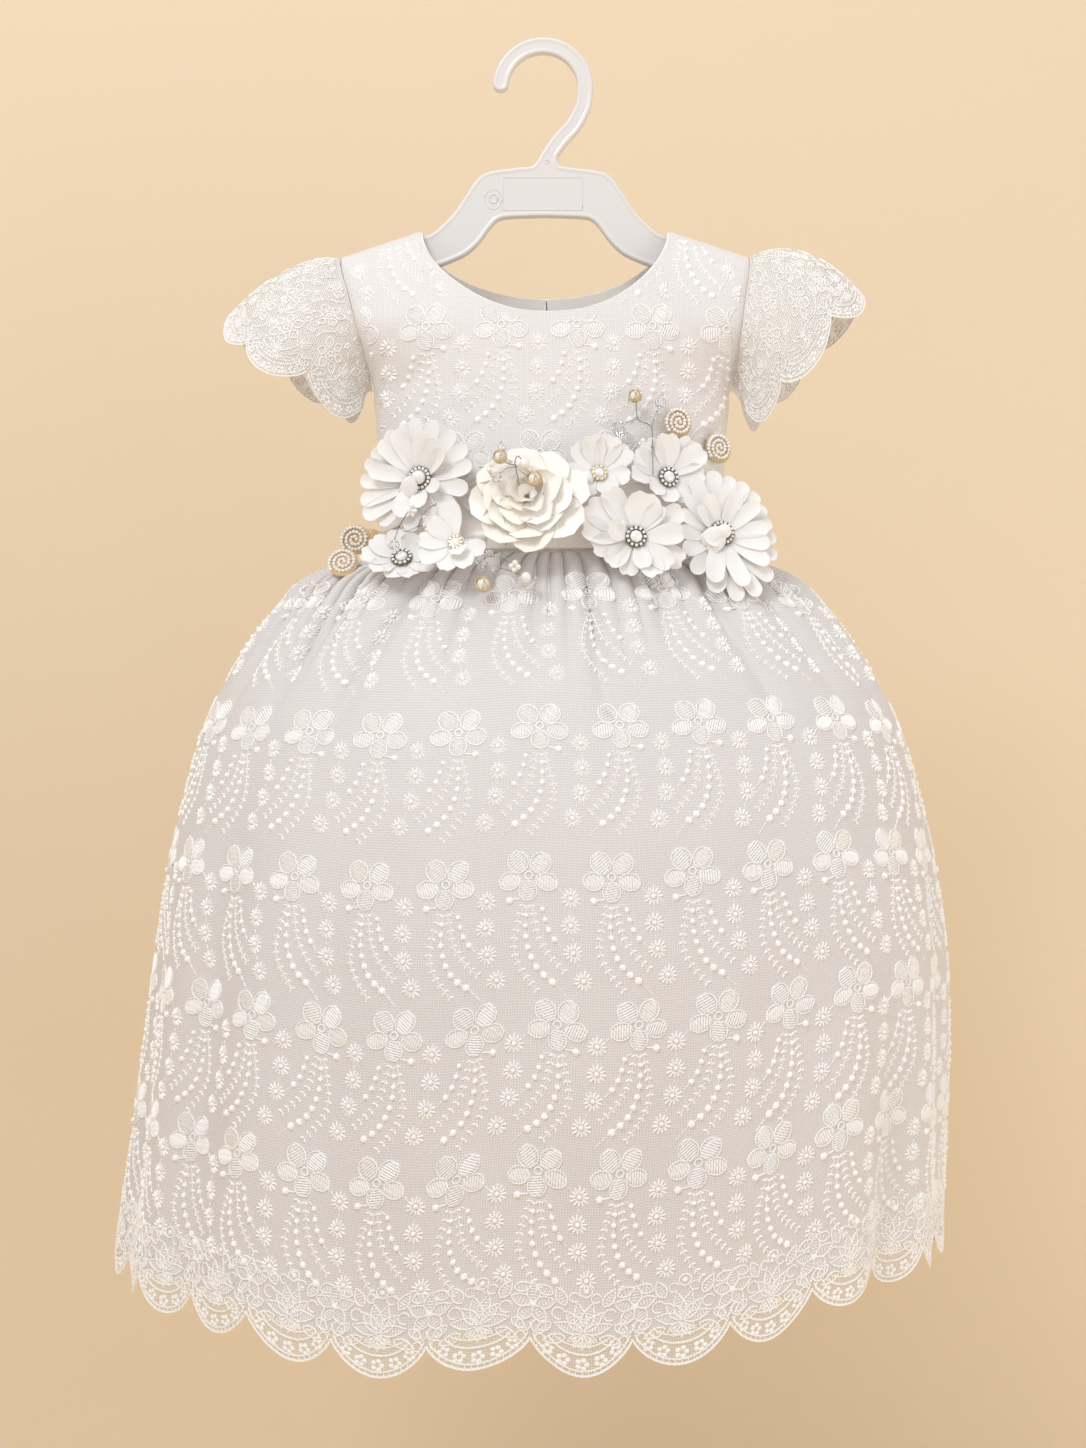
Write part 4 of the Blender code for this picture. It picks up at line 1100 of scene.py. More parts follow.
class SkirtCloth:
    """Lays flat needlework on the skirt at its true size."""

    def __init__(self, form: SkirtForm, off: float) -> None:
        """Starts with the skirt's form and the distance of the outer face from its middle surface."""
        self.form = form
        self.off = off

    def metric(self, angle: Array, row: Array) -> tuple[Array, Array]:
        """Millimetres along the smooth bell for a degree of angle, and for a millimetre of row."""
        turn, form, step = np.radians(angle), self.form, 2.0
        across = np.hypot(form.read(1, row) * np.cos(turn), form.depth(turn, row) * np.sin(turn))
        widening = (form.read(1, row - step) - form.read(1, row + step)) / (2 * step)
        deepening = (form.depth(turn, row - step) - form.depth(turn, row + step)) / (2 * step)
        out = np.hypot(widening * np.sin(turn), deepening * np.cos(turn))
        return np.radians(across), np.hypot(self.form.stretch(angle), out)

    def outer(self, angle: Array, row: Array) -> Array:
        """Points of the outer face."""
        return on_surface(self.form.point, angle, row, np.full(np.broadcast(angle, row).shape, self.off))

    def laid(self, flat: Mesh, angle: float, row: float) -> Mesh:
        """A flat mesh laid with its origin at an angle and a row, at its true size."""
        x, y, high = flat.points.T
        rows = np.full(len(x), float(row))
        angles = np.full(len(x), float(angle))
        for _ in range(4):
            rows = row + y / self.metric(np.full(len(x), float(angle)), (rows + row) / 2)[1]
        for _ in range(3):
            angles = angle + x / self.metric((angles + angle) / 2, rows)[0]
        rows = np.clip(rows, None, -299.0)
        return flat.moved(on_surface(self.form.point, angles, rows, self.off + high))


class Skirt:
    """The skirt: a satin lining, an embroidered net over it, and a corded lace border along the hem."""

    border = 3.5
    seam_inset = 0.02
    columns = 336
    rows_of_motifs = ((-322.0, 18), (-394.0, 24), (-470.0, 27), (-544.0, 29), (-617.0, 30))

    def __init__(self) -> None:
        """Sets out the skirt's form."""
        self.form = SkirtForm()
        self.outer = SkirtCloth(self.form, CLOTH_HALF)
        self.inner = SkirtCloth(self.form, -CLOTH_HALF)

    def shell(self, face: Face, cloth: SkirtCloth, bottom: Array | float, count: int, rows: int) -> Mesh:
        """A shell of one half from a bottom row to the waist, closer rows near the waist."""
        angle = np.linspace(face.first, face.first + 180, count + 1)[None, :]
        angle = face.first + self.seam_inset + (angle - face.first) * (180 - 2 * self.seam_inset) / 180
        top = self.form.sections[0, 0]
        share = np.linspace(0, 1, rows)[:, None] ** 0.75
        low = np.broadcast_to(bottom, angle.shape) if np.isscalar(bottom) else bottom
        row = low + (top - low) * share
        across, _ = cloth.metric(np.array(0.0), np.array(-560.0))
        return grid_mesh(cloth.outer(angle, row), grid_of(angle * across, row))

    def ground(self, face: Face) -> Mesh:
        """The open net that the border is worked on, from the scalloped edge up."""
        angle = np.linspace(face.first, face.first + 180, self.columns + 1)[None, :]
        edge = self.form.edge(angle)
        high = self.form.hem_cusp + self.border
        row = edge + (high - edge) * np.linspace(0, 1, 7)[:, None]
        across, _ = self.outer.metric(np.array(0.0), np.array(-690.0))
        return grid_mesh(self.outer.outer(angle, row), grid_of(angle * across, row))

    def lace(self, face: Face) -> Mesh:
        """The corded scallops of one half."""
        pitch = 360 / self.form.scallops
        flat = BorderLace.scallop()
        parts = []
        for i in range(self.form.scallops // 2):
            middle = face.first + (i + 0.5) * pitch
            width = float(self.outer.metric(np.array(middle), np.array(self.form.hem_cusp))[0]) * pitch
            fitted = flat.moved(flat.points * np.array([width / BorderLace.wide, 1.0, 1.0]))
            parts.append(self.outer.laid(fitted, middle, self.form.hem_cusp))
        return Mesh.join(parts)

    def motifs(self, face: Face) -> Mesh:
        """The repeats on one half, in rows that sweep one way and the other by turns."""
        sweeps = Embroidery.both_ways()
        parts = []
        for number, (row, count) in enumerate(self.rows_of_motifs):
            flat = sweeps[number % 2]
            turns, lengths = self.form.arc(row)
            for i in range(count):
                share = ((i + 0.36 * number + 0.5) / count) % 1
                angle = float(np.interp(share * lengths[-1], lengths, turns))
                if (abs(angle) < 90) is (face is Face.FRONT):
                    parts.append(self.outer.laid(flat, angle, row + self.lift(angle)))
        return Mesh.join(parts)

    @staticmethod
    def lift(angle: float) -> float:
        """A slow drift of the rows, so that they are not all level."""
        return 3.0 * math.sin(math.radians(3 * angle + 25))

    def build(self) -> None:
        """Makes the skirt's pieces for both halves."""
        for face, node in ((Face.FRONT, "skirt_front"), (Face.BACK, "skirt_back")):
            net_end = self.form.hem_cusp + self.border
            net = piece(node + "_net", self.shell(face, self.outer, net_end, 420, 74), Finish.NET,
                        (node,))
            lining_end = self.form.hem_cusp + self.border + 1.0
            lining = piece(node + "_lining", self.shell(face, self.inner, lining_end, 180, 44),
                           Finish.LINING)
            ground = piece(node + "_border", self.ground(face), Finish.LACE_NET)
            lace = piece(node + "_border_cord", self.lace(face), Finish.CORD, smooth=False)
            sewn = piece(node + "_embroidery", self.motifs(face), Finish.THREAD,
                         smooth=False)


class Bodice:
    """The bodice: embroidered net over satin in a front and two back panels, bound at the neck."""

    def __init__(self) -> None:
        """Sets out the bodice's form."""
        self.form = BodiceForm()

    def crease(self, face: Face, angle: Array, z: Array) -> Array:
        """Soft creases: from the underarms towards the neck, and small puckers above the belt."""
        x = self.form.read(4, z) + np.sin(np.radians(angle)) * self.form.read(1, z)
        pull = 0.0
        for at, high, slope, wide, deep in (
            (-70, -190, 0.75, 5, 1.0), (-58, -222, 0.5, 4, 0.8), (72, -196, -0.7, 5, 1.0),
            (60, -228, -0.45, 4, 0.7), (-84, -168, 1.6, 4, 0.8), (86, -172, -1.5, 4, 0.8),
        ):
            line = high + (x - at) * slope
            pull = pull + deep * np.exp(-(((z - line) / wide) ** 2)) * np.exp(-(((x - at) / 26) ** 2))
        puckers = 0.35 * np.sin(x * 0.55 + 1.4 * np.sin(x * 0.13)) * ease((-225 - z) / 30)
        return np.where(face is Face.FRONT, pull, 0.6 * pull) + puckers

    def surface(self, face: Face, off: float) -> Surface:
        """The panel's surface, off millimetres outside of its middle."""
        def place(angle: Array, z: Array) -> Array:
            """Points at an angle across the panel and a height."""
            high = -face.value * (off - self.crease(face, angle, z))
            inside = np.clip(angle, -89.4, 89.4)
            return on_surface(lambda a, h: self.form.point(face, a, h), inside, z, high)
        return place

    def panel(self, face: Face, first: float, last: float, off: float, columns: int, rows: int) -> Mesh:
        """A panel between two angles, from the waist to its upper edge, closer rows near the top."""
        across = np.linspace(np.sin(np.radians(first)), np.sin(np.radians(last)), columns)
        angle = np.degrees(np.arcsin(across))[None, :]
        top = self.form.top(face, angle) - 0.3
        share = (1 - np.linspace(1, 0, rows)[:, None] ** 1.8)
        z = self.form.waist + (top - self.form.waist) * share
        points = self.surface(face, off)(np.broadcast_to(angle, z.shape), z)
        uv = np.stack([points[..., 0], z], -1)
        mesh = grid_mesh(points, uv)
        return mesh.flipped() if face is Face.BACK else mesh

    def laid(self, flat: Mesh, face: Face, x: float, z: float) -> Mesh:
        """A flat mesh laid on the panel with its origin at a place, seen from outside."""
        across, up, high = flat.points.T
        way = 1 if face is Face.FRONT else -1
        height = np.clip(z + up, self.form.waist + 1, None)
        share = (x + way * across - self.form.read(4, height)) / self.form.read(1, height)
        angle = np.degrees(np.arcsin(np.clip(share, -0.985, 0.985)))
        top = self.form.top(face, angle) - 4.0
        height = np.minimum(height, top)
        places = self.surface(face, CLOTH_HALF)(angle, height)
        return flat.moved(places + self.lifted(face, angle, height, high))

    def lifted(self, face: Face, angle: Array, z: Array, high: Array) -> Array:
        """How far a stitch of a height stands off the panel, as vectors."""
        low, up = (self.surface(face, CLOTH_HALF + above)(angle, z) for above in (0, 1))
        return (up - low) * high[:, None]

    def motifs(self, face: Face) -> Mesh:
        """The repeats on a panel: one row across the chest and strands below it."""
        sweeps = Embroidery.both_ways()
        parts = []
        for number, (z, start) in enumerate(((-93.0, -132.0), (-167.0, -111.0), (-241.0, -132.0))):
            flat = sweeps[number % 2]
            for x in start + 43.0 * np.arange(7):
                parts.append(self.laid(self.inside(flat, face, x, z), face, x, z))
        return Mesh.join(parts)

    def inside(self, flat: Mesh, face: Face, x: float, z: float) -> Mesh:
        """The part of a flat mesh whose faces all lie on the panel."""
        way = 1 if face is Face.FRONT else -1
        px, pz = x + way * flat.points[:, 0], z + flat.points[:, 1]
        half = self.form.read(1, pz)
        share = (px - self.form.read(4, pz)) / half
        angle = np.degrees(np.arcsin(np.clip(share, -1, 1)))
        good = (np.abs(share) < 0.97) & (pz < self.form.top(face, angle) - 4.5) & (pz > -298)
        if face is Face.BACK:
            good &= np.abs(px) > 10
        return flat.kept(good)

    def binding(self, face: Face) -> Mesh:
        """The satin binding that rolls over the neckline."""
        neck = self.form.neck_half / self.form.shoulder_half
        angle = np.degrees(np.arcsin(np.sin(np.linspace(-0.5, 0.5, 61) * math.pi) * neck))
        path = self.form.point(face, angle, self.form.top(face, angle) - 0.6)
        return tube(path, 0.9, 8, 0.8, up=np.array([0.0, float(face.value), 0.4]))

    def seam(self, side: Side) -> Mesh:
        """The side seam: a narrow strip that closes the front to the back."""
        z = np.linspace(self.form.waist, self.form.underarm, 48)
        angle = np.full(48, 89.5 * side.value)
        front, back = (self.surface(face, CLOTH_HALF)(angle, z) for face in (Face.FRONT, Face.BACK))
        middle = (front + back) / 2 + np.array([0.5 * side.value, 0.0, 0.0])
        columns = (front, middle, back) if side is Side.RIGHT else (back, middle, front)
        points = np.stack(columns, 1)
        return grid_mesh(points, np.stack([points[..., 1], points[..., 2]], -1))

    def build(self) -> None:
        """Makes the bodice's pieces."""
        for side in Side:
            # the bodice's net finish is painted lighter than the skirt's, as painted light from above
            piece(f"bodice_side_seam_{side.name.lower()}", self.seam(side), Finish.BODICE_NET)
        whole = (-89.5, 89.5)
        front = piece("bodice_front_net", self.panel(Face.FRONT, *whole, CLOTH_HALF, 150, 70),
                      Finish.BODICE_NET, ("bodice_front",))
        sewn = piece("bodice_front_embroidery", self.motifs(Face.FRONT), Finish.THREAD,
                     smooth=False)
        bound = piece("bodice_front_binding", self.binding(Face.FRONT), Finish.BELT)
        lined = piece("bodice_front_lining", self.panel(Face.FRONT, *whole, -CLOTH_HALF, 70, 30),
                      Finish.LINING)
        for side, node in ((Side.LEFT, "bodice_back_left"), (Side.RIGHT, "bodice_back_right")):
            ends = (whole[0], -0.15) if side is Side.LEFT else (0.15, whole[1])
            back = piece(node + "_net", self.panel(Face.BACK, *ends, CLOTH_HALF, 76, 60),
                         Finish.BODICE_NET, (node,))
            lining = piece(node + "_lining", self.panel(Face.BACK, *ends, -CLOTH_HALF, 40, 30),
                           Finish.LINING)
        piece("bodice_back_embroidery", self.motifs(Face.BACK), Finish.THREAD,
              smooth=False)
        piece("bodice_back_binding", self.binding(Face.BACK), Finish.BELT)


class SleeveLace:
    """The figures of the sleeves' corded lace."""

    @staticmethod
    def flower(n: Needlework, centre: Array, turn: float, petals: int = 6, reach: float = 9.4) -> None:
        """A flower whose petals are outlined in cord and hatched, round a ring of knots."""
        n.ring_flower(centre, 2.2, 5, math.radians(turn))
        n.cord(arc_path(centre, 3.3, turn, turn + 335, 12), 0.6, 0.6, closed=True)
        for k in range(petals):
            way = heading(turn + 360 * k / petals)
            root, tip = centre + way * 3.7, centre + way * (reach + 0.9 * math.sin(2.1 * k + turn))
            n.cord(leaf_path(root, tip, 2.4, 7), 0.75, 0.75, closed=True)
            lean = left_of(way) * np.array([[-0.7], [0.7]])
            n.stitches(root + way * 1.0 + lean * 0.5, tip - way * 1.8 + lean, wide=0.5, high=0.4)

    @staticmethod
    def fan(n: Needlework, root: Array, turn: float) -> None:
        """Outlined leaves that spread from a stem."""
        for lean, long in ((-46, 6.0), (0, 8.0), (46, 6.0)):
            tip = root + heading(turn + lean) * long
            n.cord(leaf_path(root, tip, 1.6, 6), 0.6, 0.6, closed=True)
            n.stitches([root + (tip - root) * 0.25], [root + (tip - root) * 0.8], wide=0.6, high=0.4)

    @staticmethod
    def scroll(n: Needlework, centre: Array, turn: float) -> None:
        """Three arcs, one inside another."""
        for radius, sweep in ((1.4, 320), (2.9, 230), (4.3, 150)):
            n.cord(arc_path(centre, radius, turn, turn + sweep, 9), 0.6, 0.6)


class Sleeve:
    """A cap sleeve of open net, embroidered, with a scalloped border of corded lace."""

    shapes = {
        Side.LEFT: (-199.0, 11.0, table(
            (0, 106, -5, -205), (0.08, 118, -20, -204), (0.17, 139, -34, -191), (0.25, 156, -36, -183),
            (0.33, 171, -27, -173), (0.42, 179, -14, -161), (0.5, 181, 2, -150), (0.62, 165, 27, -168),
            (0.75, 140, 36, -186), (0.88, 119, 23, -200), (1, 107, 5, -204),
        )),
        Side.RIGHT: (-196.0, 20.0, table(
            (0, 117, -9, -211), (0.08, 125, -23, -206), (0.17, 137, -33, -194), (0.25, 150, -36, -177),
            (0.33, 163, -30, -158), (0.42, 176, -15, -146), (0.5, 182, 2, -138), (0.62, 165, 27, -158),
            (0.75, 145, 38, -182), (0.88, 127, 25, -203), (1, 117, 6, -209),
        )),
    }

    def __init__(self, side: Side) -> None:
        """Sets out the sleeve on its side."""
        self.side = side
        start, puff, hem = self.shapes[side]
        self.form = SleeveForm(side, start, puff, hem)

    def raised(self, share: Array, along: Array, high: Array) -> Array:
        """Points raised off the outer face."""
        high = np.asarray(high, float) * -self.side.value
        middle = self.form.point(share, along)
        step_u = self.form.point(share + 0.004, along) - self.form.point(share - 0.004, along)
        step_v = self.form.point(share, along + 0.01) - self.form.point(share, along - 0.01)
        return middle + unit(np.cross(step_u, step_v)) * np.asarray(high)[..., None]

    def shell(self) -> Mesh:
        """The net, out to the scalloped edge."""
        share = np.linspace(0.004, 0.996, 145)[None, :]
        length = self.form.length(share[0])[None, :]
        end = 1 + self.form.scallop_deep * self.form.lobe(share) / length
        along = np.linspace(0, 1, 26)[:, None] * end
        points = self.raised(np.broadcast_to(share, along.shape), along, np.full(along.shape, 0.5))
        mesh = grid_mesh(points, grid_of(share * 240, along * length))
        return mesh if self.side is Side.LEFT else mesh.flipped()

    def laid(self, flat: Mesh, share: float = 0.5, along_mm: float = 0.0) -> Mesh:
        """A flat mesh laid with its top towards the shoulder, its origin along_mm in from the hem line."""
        x, y, high = flat.points.T
        ends = np.linspace(0, 1, 129)
        lengths = self.form.length(ends)
        reach = distances(self.form.point(ends, np.full(129, 0.85)))
        across = np.interp(share, ends, reach) + self.side.value * x
        place = np.interp(across, reach, ends)
        along = 1 - (along_mm + y) / np.interp(place, ends, lengths)
        inside = (across > 1.5) & (across < reach[-1] - 1.5) & (along > 0.03)
        points = self.raised(np.clip(place, 0.01, 0.99), np.clip(along, 0.02, None), 0.55 + high)
        return Mesh(points, flat.faces).kept(inside)

    def lace(self) -> Mesh:
        """The corded scallops of the border."""
        flat = BorderLace.scallop()
        flat = flat.kept(flat.points[:, 1] < 13)
        parts = []
        count = self.form.scallops
        for i in range(count):
            middle = (i + 0.5) / count
            ends = self.form.point(np.array([middle - 0.06, middle + 0.06]), np.array(1.0))
            wide = float(np.linalg.norm(ends[1] - ends[0])) / 0.12 / count / BorderLace.wide
            tall = self.form.scallop_deep / BorderLace.deep
            points = flat.points * np.array([wide, max(tall, 0.62), 1.0])
            low = points[:, 1] < 0
            points[low, 1] *= tall / max(tall, 0.62)
            parts.append(self.laid(flat.moved(points), middle))
        return Mesh.join(parts)

    def motifs(self) -> Mesh:
        """The corded flowers, fans, scrolls and stems that fill the sleeve above its scallops."""
        n = Needlework()
        for row, y in enumerate((17.0, 37.0, 57.0, 77.0)):
            for column in range(-4, 5):
                x = 28.0 * column + 14.0 * (row % 2) + 2.0 * math.sin(2.3 * column + row)
                high = y + 2.0 * math.sin(1.7 * column + 2.1 * row)
                SleeveLace.flower(n, np.array([x, high]), 23.0 * column + 40 * row)
                SleeveLace.fan(n, np.array([x + 14.0, high - 6.5]), 90 + 12 * math.sin(3.1 * column))
                SleeveLace.scroll(n, np.array([x + 14.0, high + 7.5]), 200 - 60 * column)
                n.ring_flower(np.array([x + 7.5, high + 10.5]), 2.2, 5, column)
                n.cord(arc_path((x - 2, high + 1), 11.5, 100, 165, 7), 0.6, 0.6)
                n.cord(arc_path((x + 2, high - 1), 11.0, 280, 345, 7), 0.6, 0.6)
        return self.laid(n.mesh())

    def build(self) -> None:
        """Makes the sleeve's pieces."""
        node = "sleeve_" + self.side.name.lower()
        # the sleeves' net finish is painted lighter, as painted light against the shade inside them
        net = piece(node + "_net", self.shell(), Finish.SLEEVE_NET, (node,))
        cord = piece(node + "_cord", self.lace(), Finish.CORD, smooth=False)
        sewn = piece(node + "_embroidery", self.motifs(), Finish.THREAD, smooth=False)


class Belt:
    """The satin sash round the waist, with soft folds along it and a seam at the back."""

    upper = -251.0
    lower = -295.4
    off = 1.85

    def __init__(self) -> None:
        """Sets out the body that the belt goes round."""
        self.form = BodiceForm()

    def surface(self, angle: Array, z: Array) -> Array:
        """The belt's outer face: the body's outline, with folds along the band."""
        share = (z - self.lower) / (self.upper - self.lower)
        rise = 0.0
        for at, drift, wide, high in (
            (0.16, 0.05, 0.06, 0.9), (0.38, -0.04, 0.07, 0.8), (0.63, 0.05, 0.06, 0.9),
            (0.85, -0.03, 0.05, 0.7),
        ):
            wander = drift * np.sin(np.radians(angle * 2 + at * 300)) + 0.02 * np.sin(np.radians(angle * 7))
            line = at + wander
            rise = rise + high * np.exp(-(((share - line) / wide) ** 2))
        rolled = -0.8 * (ease((share - 0.93) / 0.07) + ease((0.07 - share) / 0.07))
        return self.form.ring(angle, z, (self.off + 0.45 + rise + rolled)[..., None])

    def build(self) -> None:
        """Makes the belt."""
        angle = np.linspace(-179.5, 179.5, 361)[None, :]
        z = np.linspace(self.lower, self.upper, 41)[:, None]
        points = self.surface(np.broadcast_to(angle, (41, 361)), np.broadcast_to(z, (41, 361)))
        uv = grid_of(angle * 1.5, z)
        band = piece("belt_band", grid_mesh(points, uv), Finish.BELT, ("belt",), wall_mm=0.6,
                     outside=-1)


@dataclass(frozen=True)
class PetalShape:
    """A silk petal: its size, how it is cupped across and curled along, and its tip."""

    length: float
    width: float
    cup: float = 0.25
    curl: float = 0.12
    notch: float = 0.0
    root: float = 0.25
    ruffle: float = 0.0
    widest: float = 0.7
    round_tip: float = 0.55
    thick: float = 0.35

    def grid(self, seed: float = 0.0, rows: int = 9, columns: int = 9) -> Mesh:
        """The petal with its root at the origin, +y along it and +z out of the flower.

        Its half width rises from the root as a quarter of a sine, and its tip is half an ellipse.
        """
        t = np.sin(np.linspace(0, 1, rows) * 0.5 * math.pi)[:, None]
        s = np.sin(np.linspace(-1, 1, columns) * 0.5 * math.pi)[None, :]
        swell = self.root + (1 - self.root) * np.sin(0.5 * math.pi * np.minimum(1, t / self.widest)) ** 1.3
        tip = self.round_tip * self.width / self.length * (1 - np.sqrt(1 - s * s * 0.9999))
        reach = 1 - self.notch * np.exp(-((s / 0.28) ** 2)) * t**3
        x = s * swell * self.width / 2
        y = self.length * (t * reach - tip * t**2.5)
        bend = self.curl * self.length * (t**2 - 0.35 * t)
        rolled = self.cup * self.width * 0.5 * s**2 * swell
        vein = -0.018 * self.width * np.exp(-((s / 0.14) ** 2)) * np.sin(math.pi * t)
        wavy = self.ruffle * (np.sin(s * 4.2 + seed * 2.1) * t**2 + 0.6 * np.sin(s * 9 + seed) * t**3)
        z = bend + rolled + vein + wavy
        top = grid_of(x, y, z)
        under = top - np.array([0.0, 0.0, self.thick])
        upper, lower = grid_mesh(top), grid_mesh(under).flipped()
        rim = np.concatenate([
            np.arange(columns), np.arange(1, rows) * columns + columns - 1,
            (rows - 1) * columns + np.arange(columns - 2, -1, -1), np.arange(rows - 2, 0, -1) * columns,
        ])
        after = np.roll(rim, -1)
        base = rows * columns
        walls = np.stack([rim, rim + base, after + base, after], -1)
        points = np.concatenate([upper.points, lower.points])
        return Mesh(points, np.concatenate([upper.faces, lower.faces + base, walls]))


@dataclass(frozen=True)
class Petals:
    """Petals round a centre. A row is a turn from the right, anticlockwise, a reach, a width and a rise."""

    rows: Array
    shape: PetalShape
    ring: float = 2.6
    up: float = 0.0

    def mesh(self) -> Mesh:
        """The petals about +z, each shaped a little differently from its neighbours."""
        parts = []
        for number, (turn, reach, width, rise) in enumerate(self.rows):
            seed = number * 1.7 + turn * 0.1
            size = replace(self.shape, length=reach - self.ring, width=width,
                           curl=self.shape.curl * (1 + 0.35 * math.sin(seed * 1.3)),
                           cup=self.shape.cup * (1 + 0.3 * math.sin(seed * 2.9)))
            petal = size.grid(seed)
            across, along, out = petal.points.T
            lean = math.radians(rise)
            twist = math.radians(5 * math.sin(seed * 2.1))
            across, out = (across * math.cos(twist) - out * math.sin(twist),
                           across * math.sin(twist) + out * math.cos(twist))
            y = along * math.cos(lean) - out * math.sin(lean) + self.ring
            z = along * math.sin(lean) + out * math.cos(lean) + self.up + 0.12 * (number % 3)
            a = math.radians(turn)
            parts.append(petal.moved(np.stack([y * math.cos(a) + across * math.sin(a),
                                               y * math.sin(a) - across * math.cos(a), z], -1)))
        return Mesh.join(parts)


@dataclass(frozen=True)
class Jewel:
    """A flower's centre: a pearl or stone in a setting, inside a ring of small stones."""

    stone: Finish
    radius: float
    setting: Finish = Finish.GUNMETAL
    around: int = 12
    small: float = 1.15
    seat: float = 2.0
    rings: int = 1

    def pieces(self) -> dict[Finish, Mesh]:
        """Meshes about +z by their finish."""
        inner = self.radius * 0.6
        if self.stone in (Finish.PEARL, Finish.SEED):
            stone = ball(14, 8)
            centre = Mesh(stone.points * inner + np.array([0, 0, self.seat + inner * 0.5]), stone.faces)
        else:
            cut = table((0, -0.1), (1.0, 0.0), (0.96, 0.22), (0.7, 0.5), (0.42, 0.6), (0, 0.62))
            stone = turned(cut, 8)
            centre = Mesh(stone.points * inner + np.array([0, 0, self.seat + 0.5]), stone.faces)
        parts = {self.stone: [centre]}
        profile = np.array([[0.0, self.seat - 0.6], [self.radius * 1.02, self.seat - 0.4],
                            [self.radius * 1.0, self.seat + 0.25], [inner * 1.02, self.seat + 0.5],
                            [0.0, self.seat + 0.5]])
        parts.setdefault(self.setting, []).append(turned(profile, 24))
        turn = np.arange(self.around) * math.tau / self.around
        small = turned(np.array([[0, -0.3], [0.95, 0.0], [0.9, 0.35], [0.55, 0.6], [0.0, 0.62]]), 4)
        eighth = turn + math.pi / 4
        none = 0 * turn
        frames = np.stack([np.stack([np.cos(eighth), np.sin(eighth), none], -1),
                           np.stack([-np.sin(eighth), np.cos(eighth), none], -1),
                           np.stack([none, none, none + 1], -1)], 1)
        ring = np.stack([np.cos(turn), np.sin(turn), none], -1)
        places = ring * self.radius * 0.83 + np.array([0, 0, self.seat + 0.6])
        scale = np.full(self.around, self.small)
        parts.setdefault(Finish.RHINESTONE, []).append(small.copies(places, frames, scale))
        half = turn + math.pi / self.around
        prongs = np.stack([np.cos(half), np.sin(half), none], -1) * self.radius * 0.97
        prongs = prongs + np.array([0, 0, self.seat + 0.7])
        parts[self.setting].append(ball(5, 3).copies(prongs, frames, scale * 0.3))
        return {finish: Mesh.join([Mesh(m.points, m.faces) for m in found])
                for finish, found in parts.items()}


@dataclass(frozen=True)
class Bloom:
    """A silk flower on its stem: where it is, which way it faces, and its petals and jewel."""

    name: str
    head: tuple[float, float, float]
    foot: tuple[float, float]
    facing: tuple[float, float]
    layers: tuple[Petals, ...]
    jewel: Jewel | None = None
    finish: Finish = Finish.SILK
    slot: str = "white_silk"
    spin: float = 0.0

    def frame(self) -> Array:
        """Right, up and out of the flower."""
        return turned_frame(facing_way(*self.facing), self.spin)

    def stem(self) -> Mesh:
        """The wired stem from the belt to the flower's back."""
        form = BodiceForm()
        x, z = self.foot
        angle = math.degrees(math.asin((x - float(form.read(4, z))) / float(form.read(1, z))))
        root = form.ring(np.array(angle), np.array(z), 2.4)
        head = np.array(self.head) - self.frame()[2] * 0.6
        steps = np.linspace(0, 1, 7)[:, None]
        return tube(root + (head - root) * steps, 1.6, 8)

    def build(self) -> None:
        """Makes the flower's pieces."""
        frame, head = self.frame(), np.array(self.head)
        petals = Mesh.join([layer.mesh() for layer in self.layers])
        disc = turned(np.array([[0, -0.9], [5.2, -0.6], [5.4, 0.3], [0, 0.9]]), 16)
        whole = Mesh.join([petals.placed(head, frame), disc.placed(head, frame), self.stem()])
        piece(self.name + "_petals", whole, self.finish, (self.name,))
        if not self.jewel:
            return
        node = self.name + "_jewel"
        for number, (finish, mesh) in enumerate(self.jewel.pieces().items()):
            name = node + "_" + finish.name.lower()
            smooth = finish not in (Finish.RHINESTONE, Finish.CRYSTAL)
            stands_for = (node,) if number == 0 else ()
            piece(name, mesh.placed(head, frame), finish, stands_for, smooth)


